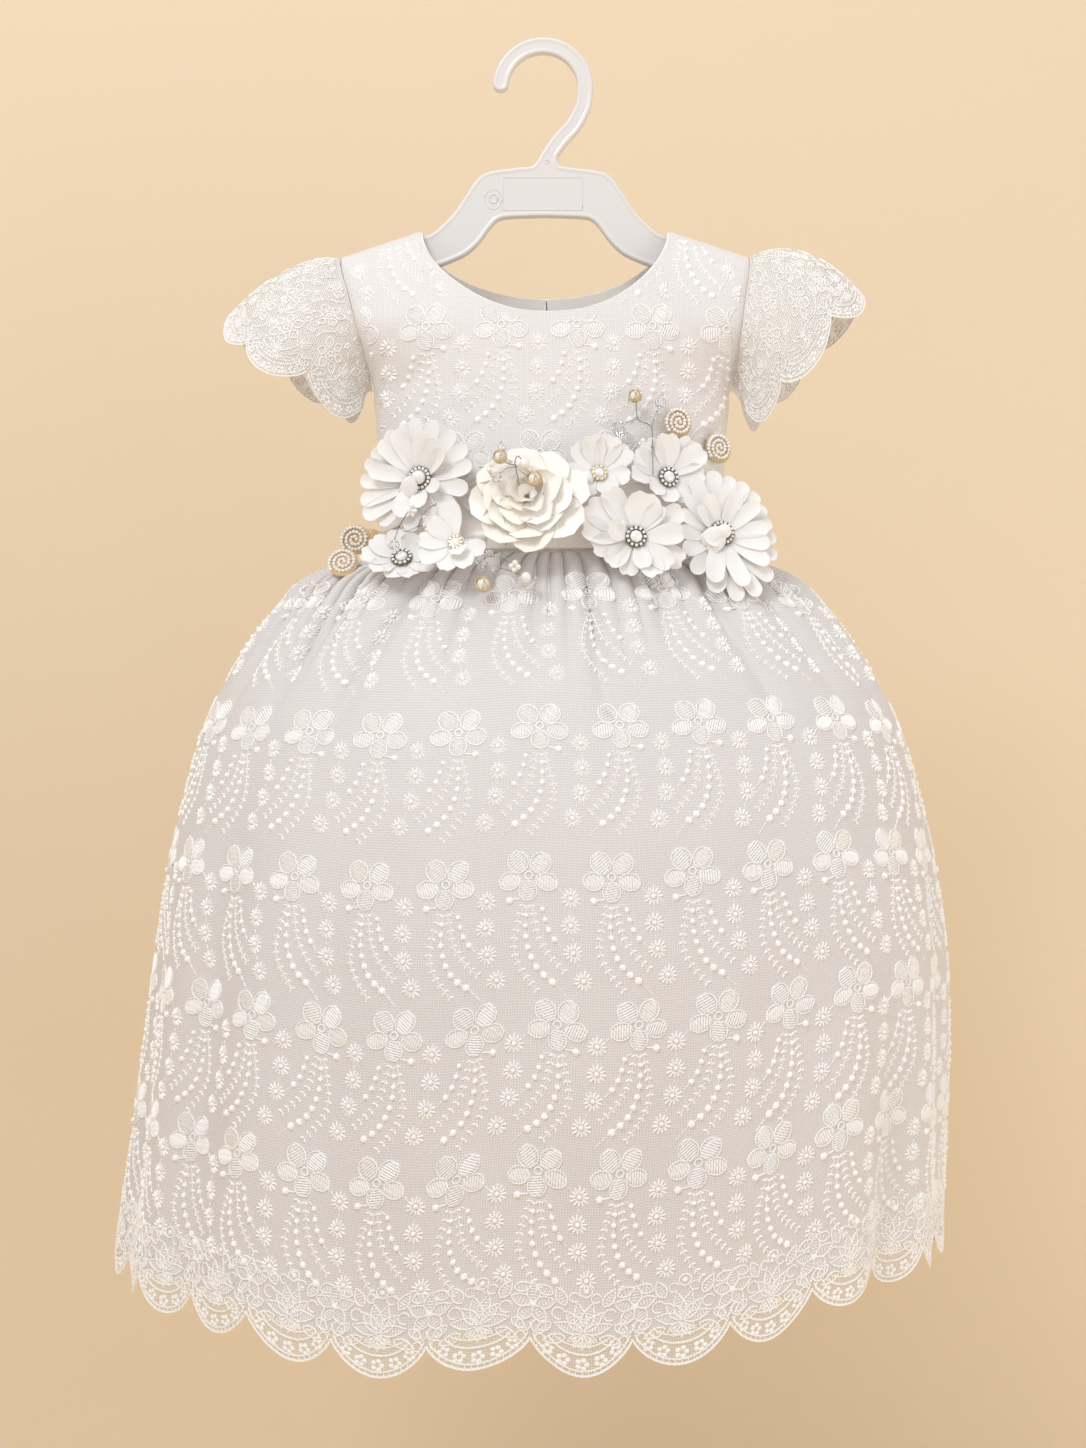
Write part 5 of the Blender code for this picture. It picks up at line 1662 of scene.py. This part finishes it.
class Posy:
    """The spray of silk flowers pinned on the belt."""

    daisy_petal = PetalShape(30, 9.5, cup=0.15, curl=0.08, root=0.55)
    broad_petal = PetalShape(20, 12, cup=0.10, curl=0.10, notch=0.08, ruffle=0.5)
    small_petal = PetalShape(14, 11, cup=0.20, curl=0.16, notch=0.03, ruffle=0.4)
    curled_petal = PetalShape(12, 9, cup=-0.25, curl=-0.35, root=0.6)
    rose_petal = PetalShape(28, 28, cup=0.10, curl=0.10, notch=0.05, ruffle=1.5, root=0.5)
    heart_petal = PetalShape(14, 16, cup=0.34, curl=0.30, notch=0.0, ruffle=1.2, root=0.6)

    def daisies(self) -> list[Bloom]:
        """The two large daisies, at the left and the right of the belt."""
        left_back = table(
            (75, 34, 9.5, 8), (95, 34.5, 9, 7), (108, 33.5, 8.5, 5), (126, 34, 8.5, 4), (150, 33, 9, 5),
            (164, 34, 8.5, 4), (182, 35, 9.5, 6), (201, 37, 9.5, 4), (215, 39, 11, 2), (229, 35, 10, 2),
            (262, 31, 10.5, 4), (290, 30, 10.5, 5), (318, 30, 10, 7), (345, 31, 10, 8), (10, 33, 9.5, 8),
            (30, 33, 9.5, 8), (52, 33, 9, 8),
        )
        left_front = table(
            (85, 27.5, 10, 20), (117, 31, 10.5, 15), (138, 31.5, 10.5, 14), (172, 30, 9.5, 17),
            (245, 26, 13.5, 14), (275, 20, 10, 24), (330, 18, 9, 32), (40, 24, 9, 24), (62, 26, 9, 22),
        )
        right_back = table(
            (92, 38, 10.5, 4), (75, 36, 9, 4), (60, 36, 9.5, 4), (44, 35, 9.5, 5), (28, 33, 9, 5),
            (11, 32, 9.5, 5), (354, 33, 9, 5), (335, 35, 9.5, 4), (312, 39, 10, 3), (293, 42, 10, 2),
            (275, 42, 10, 1), (255, 38, 12, 1), (229, 33, 10, 3), (205, 29, 10, 6), (182, 28, 9, 8),
            (158, 29, 9, 8), (135, 30, 9, 7), (115, 35.5, 10.5, 5),
        )
        right_front = table(
            (83, 28, 10, 18), (65, 27, 9.5, 18), (36, 29, 9.5, 16), (4, 28, 9.5, 15),
            (342, 28.5, 10, 14), (320, 32, 10, 10), (283, 35, 11, 8), (249, 34, 12.5, 8),
            (113, 24, 9, 20), (140, 22, 9, 22), (213, 15, 10, 24),
        )
        pearl = Jewel(Finish.PEARL, 6.8, around=16, small=1.2, seat=2.8)
        bright = Jewel(Finish.SEED, 7.2, around=16, small=1.25, seat=2.8)
        return [
            Bloom("daisy_left", (-70, -57, -256), (-47, -258), (-15, 6),
                  (Petals(left_back, self.daisy_petal, 3.2), Petals(left_front, self.daisy_petal, 3.4, 0.9),
                   Petals(table((42, -0.5, 11, 38),), self.curled_petal, -15.0, 1.5)), pearl),
            Bloom("daisy_right", (99, -54, -287), (61, -286), (20, 18),
                  (Petals(right_back, self.daisy_petal, 3.2),
                   Petals(right_front, self.daisy_petal, 3.4, 0.9),
                   Petals(table((22, -1.0, 10, 38), (52, -2.0, 9, 34)), self.curled_petal, -15.0, 1.5)),
                  bright),
        ]

    def blossoms(self) -> list[Bloom]:
        """The smaller flowers and the cosmos."""
        left = table(
            (102, 21, 11.5, 10), (140, 17, 10.5, 14), (178, 18, 9.5, 10), (212, 20, 10.5, 8),
            (252, 16.5, 10.5, 10), (295, 16.5, 11, 16), (340, 16, 10, 12), (20, 15, 10, 16),
            (60, 16, 10, 14),
        )
        low = table(
            (178, 21.5, 13, 10), (148, 20, 12, 14), (105, 18, 13, 18), (62, 16, 12, 18),
            (15, 15, 12, 16), (338, 20.5, 13, 8), (300, 16, 13, 6), (255, 15, 12, 6), (216, 18, 12, 8),
        )
        top = table(
            (102, 19.3, 12.5, 14), (69, 20, 13, 12), (133, 18.5, 10.5, 10), (37, 19.7, 11, 10),
            (352, 15.5, 10, 12), (182, 17.5, 9.5, 16), (232, 14, 11, 14), (300, 13, 12, 20),
        )
        right = table(
            (92, 22, 14, 14), (56, 23.5, 11.5, 6), (38, 23.5, 13, 12), (6, 19, 12, 10),
            (305, 15, 11, 12), (265, 14, 11, 14), (220, 13.5, 10.5, 18), (178, 21.5, 10, 10),
            (150, 21.5, 12, 8), (124, 21.5, 13, 10),
        )
        cosmos_back = table(
            (120, 30, 13.5, 5), (147, 32, 15, 4), (172, 30, 14.5, 4), (195, 25, 12.5, 4),
            (225, 22, 12, 4), (30, 29.5, 11.5, 6), (331, 29, 13, 3), (255, 22, 11, 4),
        )
        cosmos_front = table(
            (76, 27, 22, 15), (3, 28, 12.5, 12), (317, 27.5, 12.5, 9), (295, 27, 14, 9),
            (282, 20.5, 10.5, 12), (168, 20, 12, 26), (50, 24, 11, 12),
        )
        behind = table(
            (38, 14, 9.5, 8), (8, 14, 10, 6), (332, 14, 10, 4), (70, 12, 9, 10), (110, 11, 9, 10),
        )
        left, low, behind = left * (1, 1.2, 1.12, 1), low * (1, 1.14, 1.1, 1), behind * (1, 1.45, 1.3, 1)
        top, right = top * (1, 1.2, 1.15, 1), right * (1, 1.2, 1.12, 1)
        cosmos_back = cosmos_back * (1, 1.08, 1.08, 1)
        stones = Jewel(Finish.RHINESTONE, 5.8, around=12, small=1.15, seat=2.2)
        return [
            Bloom("blossom_behind", (-50.5, -56, -261.5), (-33.5, -261.5), (-22, 0),
                  (Petals(behind, self.small_petal, 1.6),)),
            Bloom("blossom_left", (-49.4, -79, -294), (-33, -289), (-4, 20),
                  (Petals(left[:7], self.broad_petal, 2.0),
                   Petals(table((290, 12.5, 12, 34)), self.small_petal, 2.0, 1.0)),
                  Jewel(Finish.RHINESTONE, 4.2, Finish.GOLD, around=10, small=0.95, seat=1.6)),
            Bloom("blossom_low_left", (-80, -66, -302), (-45, -289), (-8, 40),
                  (Petals(low, self.broad_petal, 2.6),), replace(stones, radius=6.0)),
            Bloom("blossom_top", (30, -66, -254), (15.5, -257), (6, 12),
                  (Petals(top, self.broad_petal, 2.0),
                   Petals(table((200, 9.5, 8, 48)), self.curled_petal, 3.2, 1.2)),
                  Jewel(Finish.RHINESTONE, 4.5, Finish.GOLD, around=10, small=1.0, seat=2.0)),
            Bloom("blossom_right", (69, -53.5, -255), (41.7, -257), (20, 10),
                  (Petals(right, self.broad_petal, 2.2),), stones),
            Bloom("cosmos", (50, -75, -290.5), (28, -289), (8, 10),
                  (Petals(cosmos_back, self.broad_petal, 2.6),
                   Petals(cosmos_front, self.broad_petal, 3.0, 1.0),
                   Petals(table((152, 13, 9.5, 58)), self.curled_petal, 6.4, 1.2)),
                  replace(stones, radius=6.0, seat=2.8)),
        ]

    def rose(self) -> Bloom:
        """The cream rose: two rings of broad ruffled petals round a heart of rolled ones."""
        outer = table(
            (12, 36, 27, 3), (55, 32, 25, 5), (100, 32, 26, 6), (146, 33, 26, 5), (190, 34, 27, 4),
            (233, 33, 27, 4), (278, 33, 27, 2), (328, 36, 28, 3),
        )
        second = table(
            (0, 27, 24, 12), (48, 25, 23, 14), (90, 26, 24, 14), (138, 25, 23, 12), (180, 26, 24, 11),
            (225, 26, 25, 10), (268, 27, 25, 8), (312, 25, 23, 10),
        )
        third = table(
            (25, 21, 20, 17), (80, 19, 19, 19), (130, 19, 20, 18), (178, 21, 20, 15), (235, 21, 21, 13),
            (300, 21, 21, 12),
        )
        heart = table(
            (50, 14, 14, 30), (110, 13, 13, 34), (170, 14, 14, 30), (230, 14, 14, 25), (310, 14, 15, 24),
        )
        bud = table((10, 9, 10, 44), (130, 8.5, 10, 50), (250, 9, 10, 42))
        return Bloom(
            "rose", (-9.5, -77, -270), (-8, -271), (-4, 20),
            (Petals(outer, self.rose_petal, 3.0), Petals(second, self.rose_petal, 2.8, 1.6),
             Petals(third, replace(self.rose_petal, cup=0.20, curl=0.16), 2.4, 3.2),
             Petals(heart, self.heart_petal, 2.2, 4.6), Petals(bud, self.heart_petal, 1.2, 5.4)),
            None, Finish.CREAM, "cream_silk")

    def build(self) -> None:
        """Makes every flower."""
        for bloom in (*self.daisies(), *self.blossoms(), self.rose()):
            bloom.build()


@dataclass(frozen=True)
class Rosette:
    """A spiral of seed beads on a tan gimp pad."""

    name: str
    middle: tuple[float, float, float]
    facing: tuple[float, float]
    turns: float = 2.6
    radius: float = 9.2
    thick: float = 2.2

    def build(self) -> None:
        """Makes the pad and the beads: a spiral whose radius grows evenly with its turn."""
        frame = turned_frame(facing_way(*self.facing))
        centre = np.array(self.middle)
        pad = turned(np.array([[0, -1.1], [8.4, -1.1], [8.8, -0.3], [8.4, 0.5], [0, 0.7]]), 28)
        piece(self.name + "_pad", pad.placed(centre, frame), Finish.TAN, (self.name,))
        turn = np.linspace(0, self.turns * math.tau, 400)
        way = 1.0 + (self.radius - 2.0) * turn / turn[-1]
        path = np.stack([np.cos(turn) * way, np.sin(turn) * way, 0 * turn + 1.1], -1)
        spots = resampled(path, 2.05)
        bead = ball(8, 5)
        frames = np.broadcast_to(np.eye(3), (len(spots), 3, 3))
        size = 1.12 + 0.12 * np.sin(np.arange(len(spots)) * 1.9)
        beads = bead.copies(spots, frames, size)
        piece(self.name + "_beads", beads.placed(centre, frame), Finish.SEED)


class Trimmings:
    """Rosettes, the mesh ribbon under them, and wired sprays of beads and crystals between the flowers."""

    origin = (543.0, 724.0, -0.3939, 2295.0)

    def at(self, px: float, py: float, y: float) -> Array:
        """The place that a point of the reference view has at a depth, both in millimetres.

        The view is a plain perspective: a place moves across it by 2295 for each unit of its distance.
        """
        middle_x, middle_y, height, scale = self.origin
        far = (1350.0 + y) / scale
        return np.array([(px - middle_x) * far - 1.2, y, height * 1000 - (py - middle_y) * far])

    def wire(self, points: Sequence[tuple[float, float, float]], radius: float = 0.35) -> Mesh:
        """A thin wire through places of the view at given depths."""
        path = np.array([self.at(*p) for p in points])
        return tube(resampled(path, 1.6), radius, 5)

    def beads(self, spots: Sequence[tuple[float, float, float, float]], steps: int = 10) -> Mesh:
        """Round beads at places of the view: across, down, depth and radius."""
        bead = ball(steps, 7)
        places = np.array([self.at(x, y, depth) for x, y, depth, _ in spots])
        frames = np.broadcast_to(np.eye(3), (len(spots), 3, 3))
        return bead.copies(places, frames, np.array([r for *_, r in spots]))

    def netted(self, spots: Sequence[tuple[float, float, float, float]]) -> Mesh:
        """Open cages of fine wire round beads: rings that slant both ways."""
        parts = []
        turn = np.linspace(0, math.tau, 17)
        for x, y, depth, radius in spots:
            place = self.at(x, y, depth)
            for lean in range(0, 180, 30):
                a = math.radians(lean)
                right = unit(np.array([math.cos(a), math.sin(a) * 0.6, 0.3]))
                up = np.array([0.0, math.sin(a), math.cos(a)])
                up = unit(up - right * (up @ right))
                path = place + radius * (np.cos(turn)[:, None] * right + np.sin(turn)[:, None] * up)
                parts.append(tube(path, 0.28, 4))
        return Mesh.join(parts)

    def drop(self, px: float, py: float, depth: float, radius: float, lean: float) -> Mesh:
        """A faceted drop that leans across the view by an angle in degrees."""
        profile = np.array([[0, -1.0], [0.62, -0.75], [0.95, -0.1], [0.7, 0.6], [0.25, 1.35], [0.0, 1.7]])
        shape = turned(profile * radius, 8)
        a = math.radians(lean)
        frame = np.array([[math.cos(a), 0, math.sin(a)], [0, 1, 0], [-math.sin(a), 0, math.cos(a)]])
        return shape.placed(self.at(px, py, depth), frame)

    def sprays(self) -> None:
        """Makes the sprays: wires, pearls, seed beads, crystals and drops."""
        wires = [self.wire(path) for path in (
            ((452, 524, -60), (430, 524, -66), (417.7, 526.7, -70), (404, 531, -70), (399, 526, -68)),
            ((393, 529, -66), (399, 526, -68), (405.4, 515.7, -70), (410, 509, -71)),
            ((417.7, 526.7, -70), (423.2, 515.7, -72), (426, 510.2, -72), (434.2, 504.7, -70)),
            ((399, 527, -68), (396, 535, -70), (394.4, 540, -71)),
            ((521, 500, -78), (518, 478, -86), (515.1, 460.8, -86), (518, 455.6, -85), (521, 459, -85)),
            ((515.1, 465, -86), (507, 463, -86), (501, 457, -85)),
            ((515, 467, -86), (507, 468, -86), (499, 474, -86)),
            ((516, 466, -86), (522, 472, -88), (530, 477, -89)),
            ((512, 535, -86), (504, 548, -90), (501.4, 556.9, -90), (500, 566.5, -90), (492, 574, -90),
             (485, 582, -90)),
            ((501.4, 556.9, -90), (492, 556, -89), (482, 559, -88)),
            ((501.4, 556.9, -90), (508, 562, -90), (515, 565, -90)),
            ((500, 568, -90), (513, 572, -91), (526, 577, -91), (534, 578, -90)),
            ((653, 475, -60), (652.6, 448, -58), (651.6, 427, -57), (637.6, 418.8, -56), (636, 399, -55)),
            ((651.6, 427, -57), (655, 415, -56), (658, 410, -55)),
            ((637.6, 418.8, -56), (630, 421, -56), (626, 423, -56)),
            ((653, 448, -58), (647, 444, -57), (643, 441, -57)),
        )]
        piece("spray_wires", Mesh.join(wires), Finish.WIRE)
        pearls = (
            (412, 506, -72, 1.5), (415, 511, -72, 1.4), (409, 511, -71, 1.5), (413, 515, -71, 1.3),
            (425, 525, -71, 1.6), (429, 524, -71, 1.4), (427, 530, -71, 1.4), (431, 528, -70, 1.3),
            (424, 517, -72, 1.0), (526, 577.4, -91, 3.1), (491.8, 465, -86, 1.5), (489, 470, -86, 1.3),
            (515, 563, -91, 1.8), (511, 566, -91, 1.6), (518, 567, -91, 1.7), (514, 570, -91, 1.5),
            (643, 441, -58, 1.7), (640, 444, -58, 1.3), (524.7, 464, -87, 3.0),
        )
        piece("spray_pearls", self.beads(pearls), Finish.PEARL)
        golden = (
            (483.5, 584.3, -90, 4.4, 3.7), (534.3, 478.7, -89, 4.2, 3.5), (500, 456.7, -86, 3.8, 3.1),
            (635, 396, -56, 3.6, 3.0),
        )
        cages = [(x, y, depth, cage) for x, y, depth, cage, _ in golden]
        cores = [(x, y, depth, core) for x, y, depth, _, core in golden]
        piece("spray_gilt_beads", self.netted(cages), Finish.GOLD)
        piece("spray_bead_cores", self.beads(cores), Finish.PEARL)
        hanging = (
            (497, 477, -87, 3.2, 60), (394.4, 545, -71, 3.2, 180), (481, 560, -88, 2.8, 120),
            (484, 565, -88, 2.4, 160), (490, 553, -89, 2.0, 60), (619, 427, -55, 4.2, 190),
            (660.5, 403, -54, 3.6, -12), (502, 448, -85, 2.4, 10), (637, 452, -57, 2.0, 190),
            (434.5, 504, -70, 1.4, 70),
        )
        cut = [self.drop(*each) for each in hanging]
        cluster = (
            (631, 390, -55, 1.4), (639, 391, -55, 1.4), (641, 398, -55, 1.4), (630, 399, -55, 1.4),
            (535, 578, -90, 1.2), (420, 521, -71, 0.9), (493, 569, -90, 1.6),
        )
        crystals = Mesh.join([*cut, self.beads(cluster, 6)])
        piece("spray_crystals", crystals, Finish.CRYSTAL, smooth=False)

    def ribbon(self) -> None:
        """Makes the mesh ribbon at the left, gathered in two soft waves."""
        path = table((-84, -31.9), (-91, -26.5), (-100, -24.8), (-111, -23.4))
        way = resampled(path, 0.8)
        count = len(way)
        height = np.linspace(-6, 6, 15)[:, None]
        s = np.linspace(0, 1, count)[None, :]
        out = 0.9 * np.sin(s * 21 + height * 0.25) + 0.5 * np.sin(s * 9)
        points = grid_of(
            way[None, :, 0], way[None, :, 1] - 0.6 - out, -288 + height + 0.8 * np.sin(s * 12))
        uv = grid_of(s * 34, height)
        band = piece("ribbon_left_band", grid_mesh(points, uv), Finish.RIBBON,
                     ("ribbon_left",))

    def build(self) -> None:
        """Makes all the trimmings."""
        for rosette in (
            Rosette("rosette_right_1", (75.5, -46, -222.5), (25, 4)),
            Rosette("rosette_right_2", (100, -27.5, -235), (32, 4)),
            Rosette("rosette_left_1", (-109.5, -25.1, -287.5), (-12, 4)),
            Rosette("rosette_left_2", (-115, -43, -302), (-10, 25)),
        ):
            rosette.build()
        self.sprays()
        self.ribbon()


@dataclass(frozen=True)
class Lamp:
    """One soft square light, in metres and watts, that faces a point."""

    name: str
    place: tuple[float, float, float]
    aim: tuple[float, float, float]
    size: float
    power: float
    colour: tuple[float, float, float]

    def hang(self) -> None:
        """Adds the light to the scene."""
        data = bpy.data.lights.new(self.name, "AREA")
        data.size = self.size
        data.energy = self.power
        data.color = self.colour
        thing = bpy.data.objects.new(self.name, data)
        thing.location = self.place
        way = Vector(self.aim) - Vector(self.place)
        thing.rotation_euler = way.to_track_quat("-Z", "Y").to_euler()
        bpy.context.scene.collection.objects.link(thing)


class Studio:
    """The setting: camera, soft window light, and the cream wall and floor."""

    camera_place = (-0.0012, -1.35, -0.3939)
    lens = 57.06
    lamps = (
        Lamp("Window", (-0.8, -1.4, 1.1), (0.0, 0.0, -0.1), 0.8, 18.0, (0.94, 0.975, 1.0)),
        Lamp("Bounce", (0.95, -0.1, -0.85), (0.4, 0.45, -0.6), 0.5, 1.2, (1.0, 0.97, 0.9)),
        Lamp("Fill", (1.4, -1.4, -0.6), (0.2, 0.2, -0.7), 1.8, 7.8, (0.99, 0.99, 1.0)),
        Lamp("Above", (0.1, -0.3, 1.4), (0.0, 0.1, -0.4), 1.2, 4.0, (1.0, 1.0, 1.0)),
    )
    room_colour = (1.0, 0.99, 0.98, 1.0)
    room_light = 0.67
    # the wall and the floor, in metres: half width and nearest edge, wall's depth, floor's height, wall's top
    reach, wall_y, floor_z, top_z = 2.6, 0.45, -1.02, 1.8

    def camera(self) -> None:
        """Adds the camera, level and square to the gown."""
        data = bpy.data.cameras.new("Camera")
        data.lens = self.lens
        data.sensor_fit = "VERTICAL"
        data.sensor_height = 36.0
        data.clip_end = 20.0
        thing = bpy.data.objects.new("Camera", data)
        thing.location = self.camera_place
        thing.rotation_euler = (math.pi / 2, 0.0, 0.0)
        bpy.context.scene.collection.objects.link(thing)
        bpy.context.scene.camera = thing

    def lights(self) -> None:
        """Adds the window light, a weaker fill and the room's own light."""
        for lamp in self.lamps:
            lamp.hang()
        world = bpy.data.worlds.new("Room")
        world.use_nodes = True
        background = world.node_tree.nodes["Background"]
        background.inputs[0].default_value = self.room_colour
        background.inputs[1].default_value = self.room_light
        bpy.context.scene.world = world
        bpy.context.scene.view_settings.view_transform = "Standard"

    def backdrop(self) -> None:
        """Adds the wall and the floor, which are not part of the gown."""
        side, back, low, top = self.reach, self.wall_y, self.floor_z, self.top_z
        shapes = {
            "wall": [(-side, back, low), (side, back, low), (side, back, top), (-side, back, top)],
            "floor": [(-side, -side, low), (side, -side, low), (side, back, low), (-side, back, low)],
        }
        for name, corners in shapes.items():
            data = bpy.data.meshes.new(name)
            data.from_pydata(corners, [], [(0, 1, 2, 3)])
            data.materials.append(Finish.WALL.material())
            thing = bpy.data.objects.new(name, data)
            bpy.context.scene.collection.objects.link(thing)


class Hanger:
    """The moulded hanger: a flat web inside a raised rim, with a shallow panel, a boss and a pinhole."""

    bar = 9.3
    hook_radius = 25.0
    hook_centre = (-1.2, -20.35)
    foot = ((1.5, -64.0), (3.5, -58.5), (9.5, -50.2), (17.2, -41.5), (22.3, -31.5))
    upper = (
        (12.5, -66.8), (32.4, -69.5), (40, -74.0), (46.5, -83.3), (53, -93.0), (60, -100.4),
        (68, -106.7), (82, -111.3), (96, -116.0), (108, -119.9),
    )
    end = ((112.0, -125.2), (110.5, -133.2))
    under = (
        (96, -135.5), (78, -130), (62, -125), (54, -122), (45.9, -118), (38.2, -111), (31.5, -102),
        (25.6, -97.4), (12, -96.3), (0, -96),
    )
    # how far in from the outline, and how far in front of the middle plane
    rim = (
        (3.7, 3.1), (3.2, 3.1), (2.7, 3.15), (2.1, 3.4), (1.5, 3.5), (0.9, 3.38), (0.35, 2.95),
        (0.0, 2.1),
    )

    @staticmethod
    def smooth(points: Sequence[tuple[float, float]], between: int) -> Array:
        """Points of an open smooth curve through the given ones."""
        points = np.array(points, float)
        steps = np.arange(len(points))
        wanted = np.linspace(0, len(points) - 1, (len(points) - 1) * between + 1)
        return np.stack([curve_through(steps, points[:, axis], wanted) for axis in (0, 1)], -1)

    def outline(self) -> Array:
        """The hanger's outline, clockwise from the front: shoulders, underside and hook."""
        right = np.concatenate([self.smooth(self.upper, 3), self.end, self.smooth(self.under, 3)])
        left = right[-2::-1] * np.array([-1.0, 1.0])
        turn = np.radians(np.linspace(-4, 174, 48))
        arc = np.array(self.hook_centre) + self.hook_radius * headings(turn)
        line = np.concatenate([self.smooth(self.foot, 3), arc])
        along = unit(np.gradient(line, axis=0))
        side = left_of(along) * self.bar / 2
        bend = np.linspace(0, math.pi, 12)[1:-1, None]
        tip = line[-1] + along[-1] * self.bar / 2 * np.sin(bend) + side[-1] * np.cos(bend)
        whole = [right, left, [(-9.5, -66.8)], (line + side)[3:], tip, (line - side)[:2:-1], [(8.0, -65.6)]]
        closed = np.concatenate([*whole, right[:1]])
        return resampled(closed, 1.5)[:-1]

    def body(self) -> Mesh:
        """The web and its rim, the same on both faces."""
        line = self.outline()
        along = unit(np.roll(line, -2, 0) - np.roll(line, 2, 0))
        inwards = -left_of(along)
        profile = [(deep, -out) for deep, out in self.rim] + [(deep, out) for deep, out in self.rim[::-1]]
        rings = []
        for deep, out in profile:
            flat = line + inwards * deep
            rings.append(np.stack([flat[:, 0], np.full(len(flat), out), flat[:, 1]], -1))
        points = np.concatenate(rings)
        faces = grid_faces(len(rings), len(line), closed=True)
        web = np.array(tessellate_polygon([[Vector((x, z, 0.0)) for x, _, z in rings[0]]]))
        a, b, c = (rings[0][web[:, i]][:, [0, 2]] for i in range(3))
        back_to_front = np.cross(b - a, c - a) < 0
        web[back_to_front] = web[back_to_front][:, ::-1]
        web = web[:, [0, 1, 2, 2]]
        far = web[:, [2, 1, 0, 0]] + (len(rings) - 1) * len(line)
        return Mesh(points, np.concatenate([faces, web, far]))

    def marks(self) -> Mesh:
        """The panel's edge, the boss and the pinhole's collar on the front of the web."""
        front = -3.1
        panel = table(
            (-24.5, front, -73.2), (22.0, front, -73.2), (22.0, front, -92.3), (-24.5, front, -92.3),
            (-24.5, front, -73.2),
        )
        parts = [tube(resampled(panel, 1.5), 0.28, 6)]
        turn = np.linspace(0, math.tau, 33)
        rings = ((-30.2, -85.6, 2.3, 0.5), (-30.4, -86.0, 5.0, 0.3), (1.2, -63.8, 1.0, 0.4))
        for x, z, radius, thick in rings:
            ring = grid_of(x + radius * np.cos(turn), front, z + radius * 1.15 * np.sin(turn))
            parts.append(tube(ring, thick, 6))
        return Mesh.join(parts)

    def build(self) -> None:
        """Makes the hanger."""
        piece("hanger_moulding", self.body(), Finish.PLASTIC, ("hanger",))
        piece("hanger_marks", self.marks(), Finish.PLASTIC)


class Solids:
    """The nodes of the frame that are shown as they are, with finishes in their slots."""

    finishes = {"plastic": Finish.PLASTIC, "satin": Finish.LINING, "pearl": Finish.PEARL}

    def dress(self) -> None:
        """Puts a finish in the slots of the frame's own nodes that stay in view."""
        for thing in bpy.data.objects:
            if thing.type != "MESH":
                continue
            for slot in thing.material_slots:
                name = slot.material.name.split(".")[0] if slot.material else ""
                if name in self.finishes:
                    slot.material = self.finishes[name].material()


def main() -> None:
    """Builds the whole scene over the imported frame."""
    logging.basicConfig(level=logging.INFO, format="%(name)s: %(message)s")
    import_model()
    Solids().dress()
    Studio().camera()
    sleeves = (Sleeve(Side.LEFT), Sleeve(Side.RIGHT))
    for part in (Hanger(), Skirt(), Bodice(), *sleeves, Belt(), Posy(), Trimmings()):
        LOG.info("building %s", type(part).__name__)
        part.build()
    Studio().lights()
    Studio().backdrop()


if __name__ == "__main__":
    main()
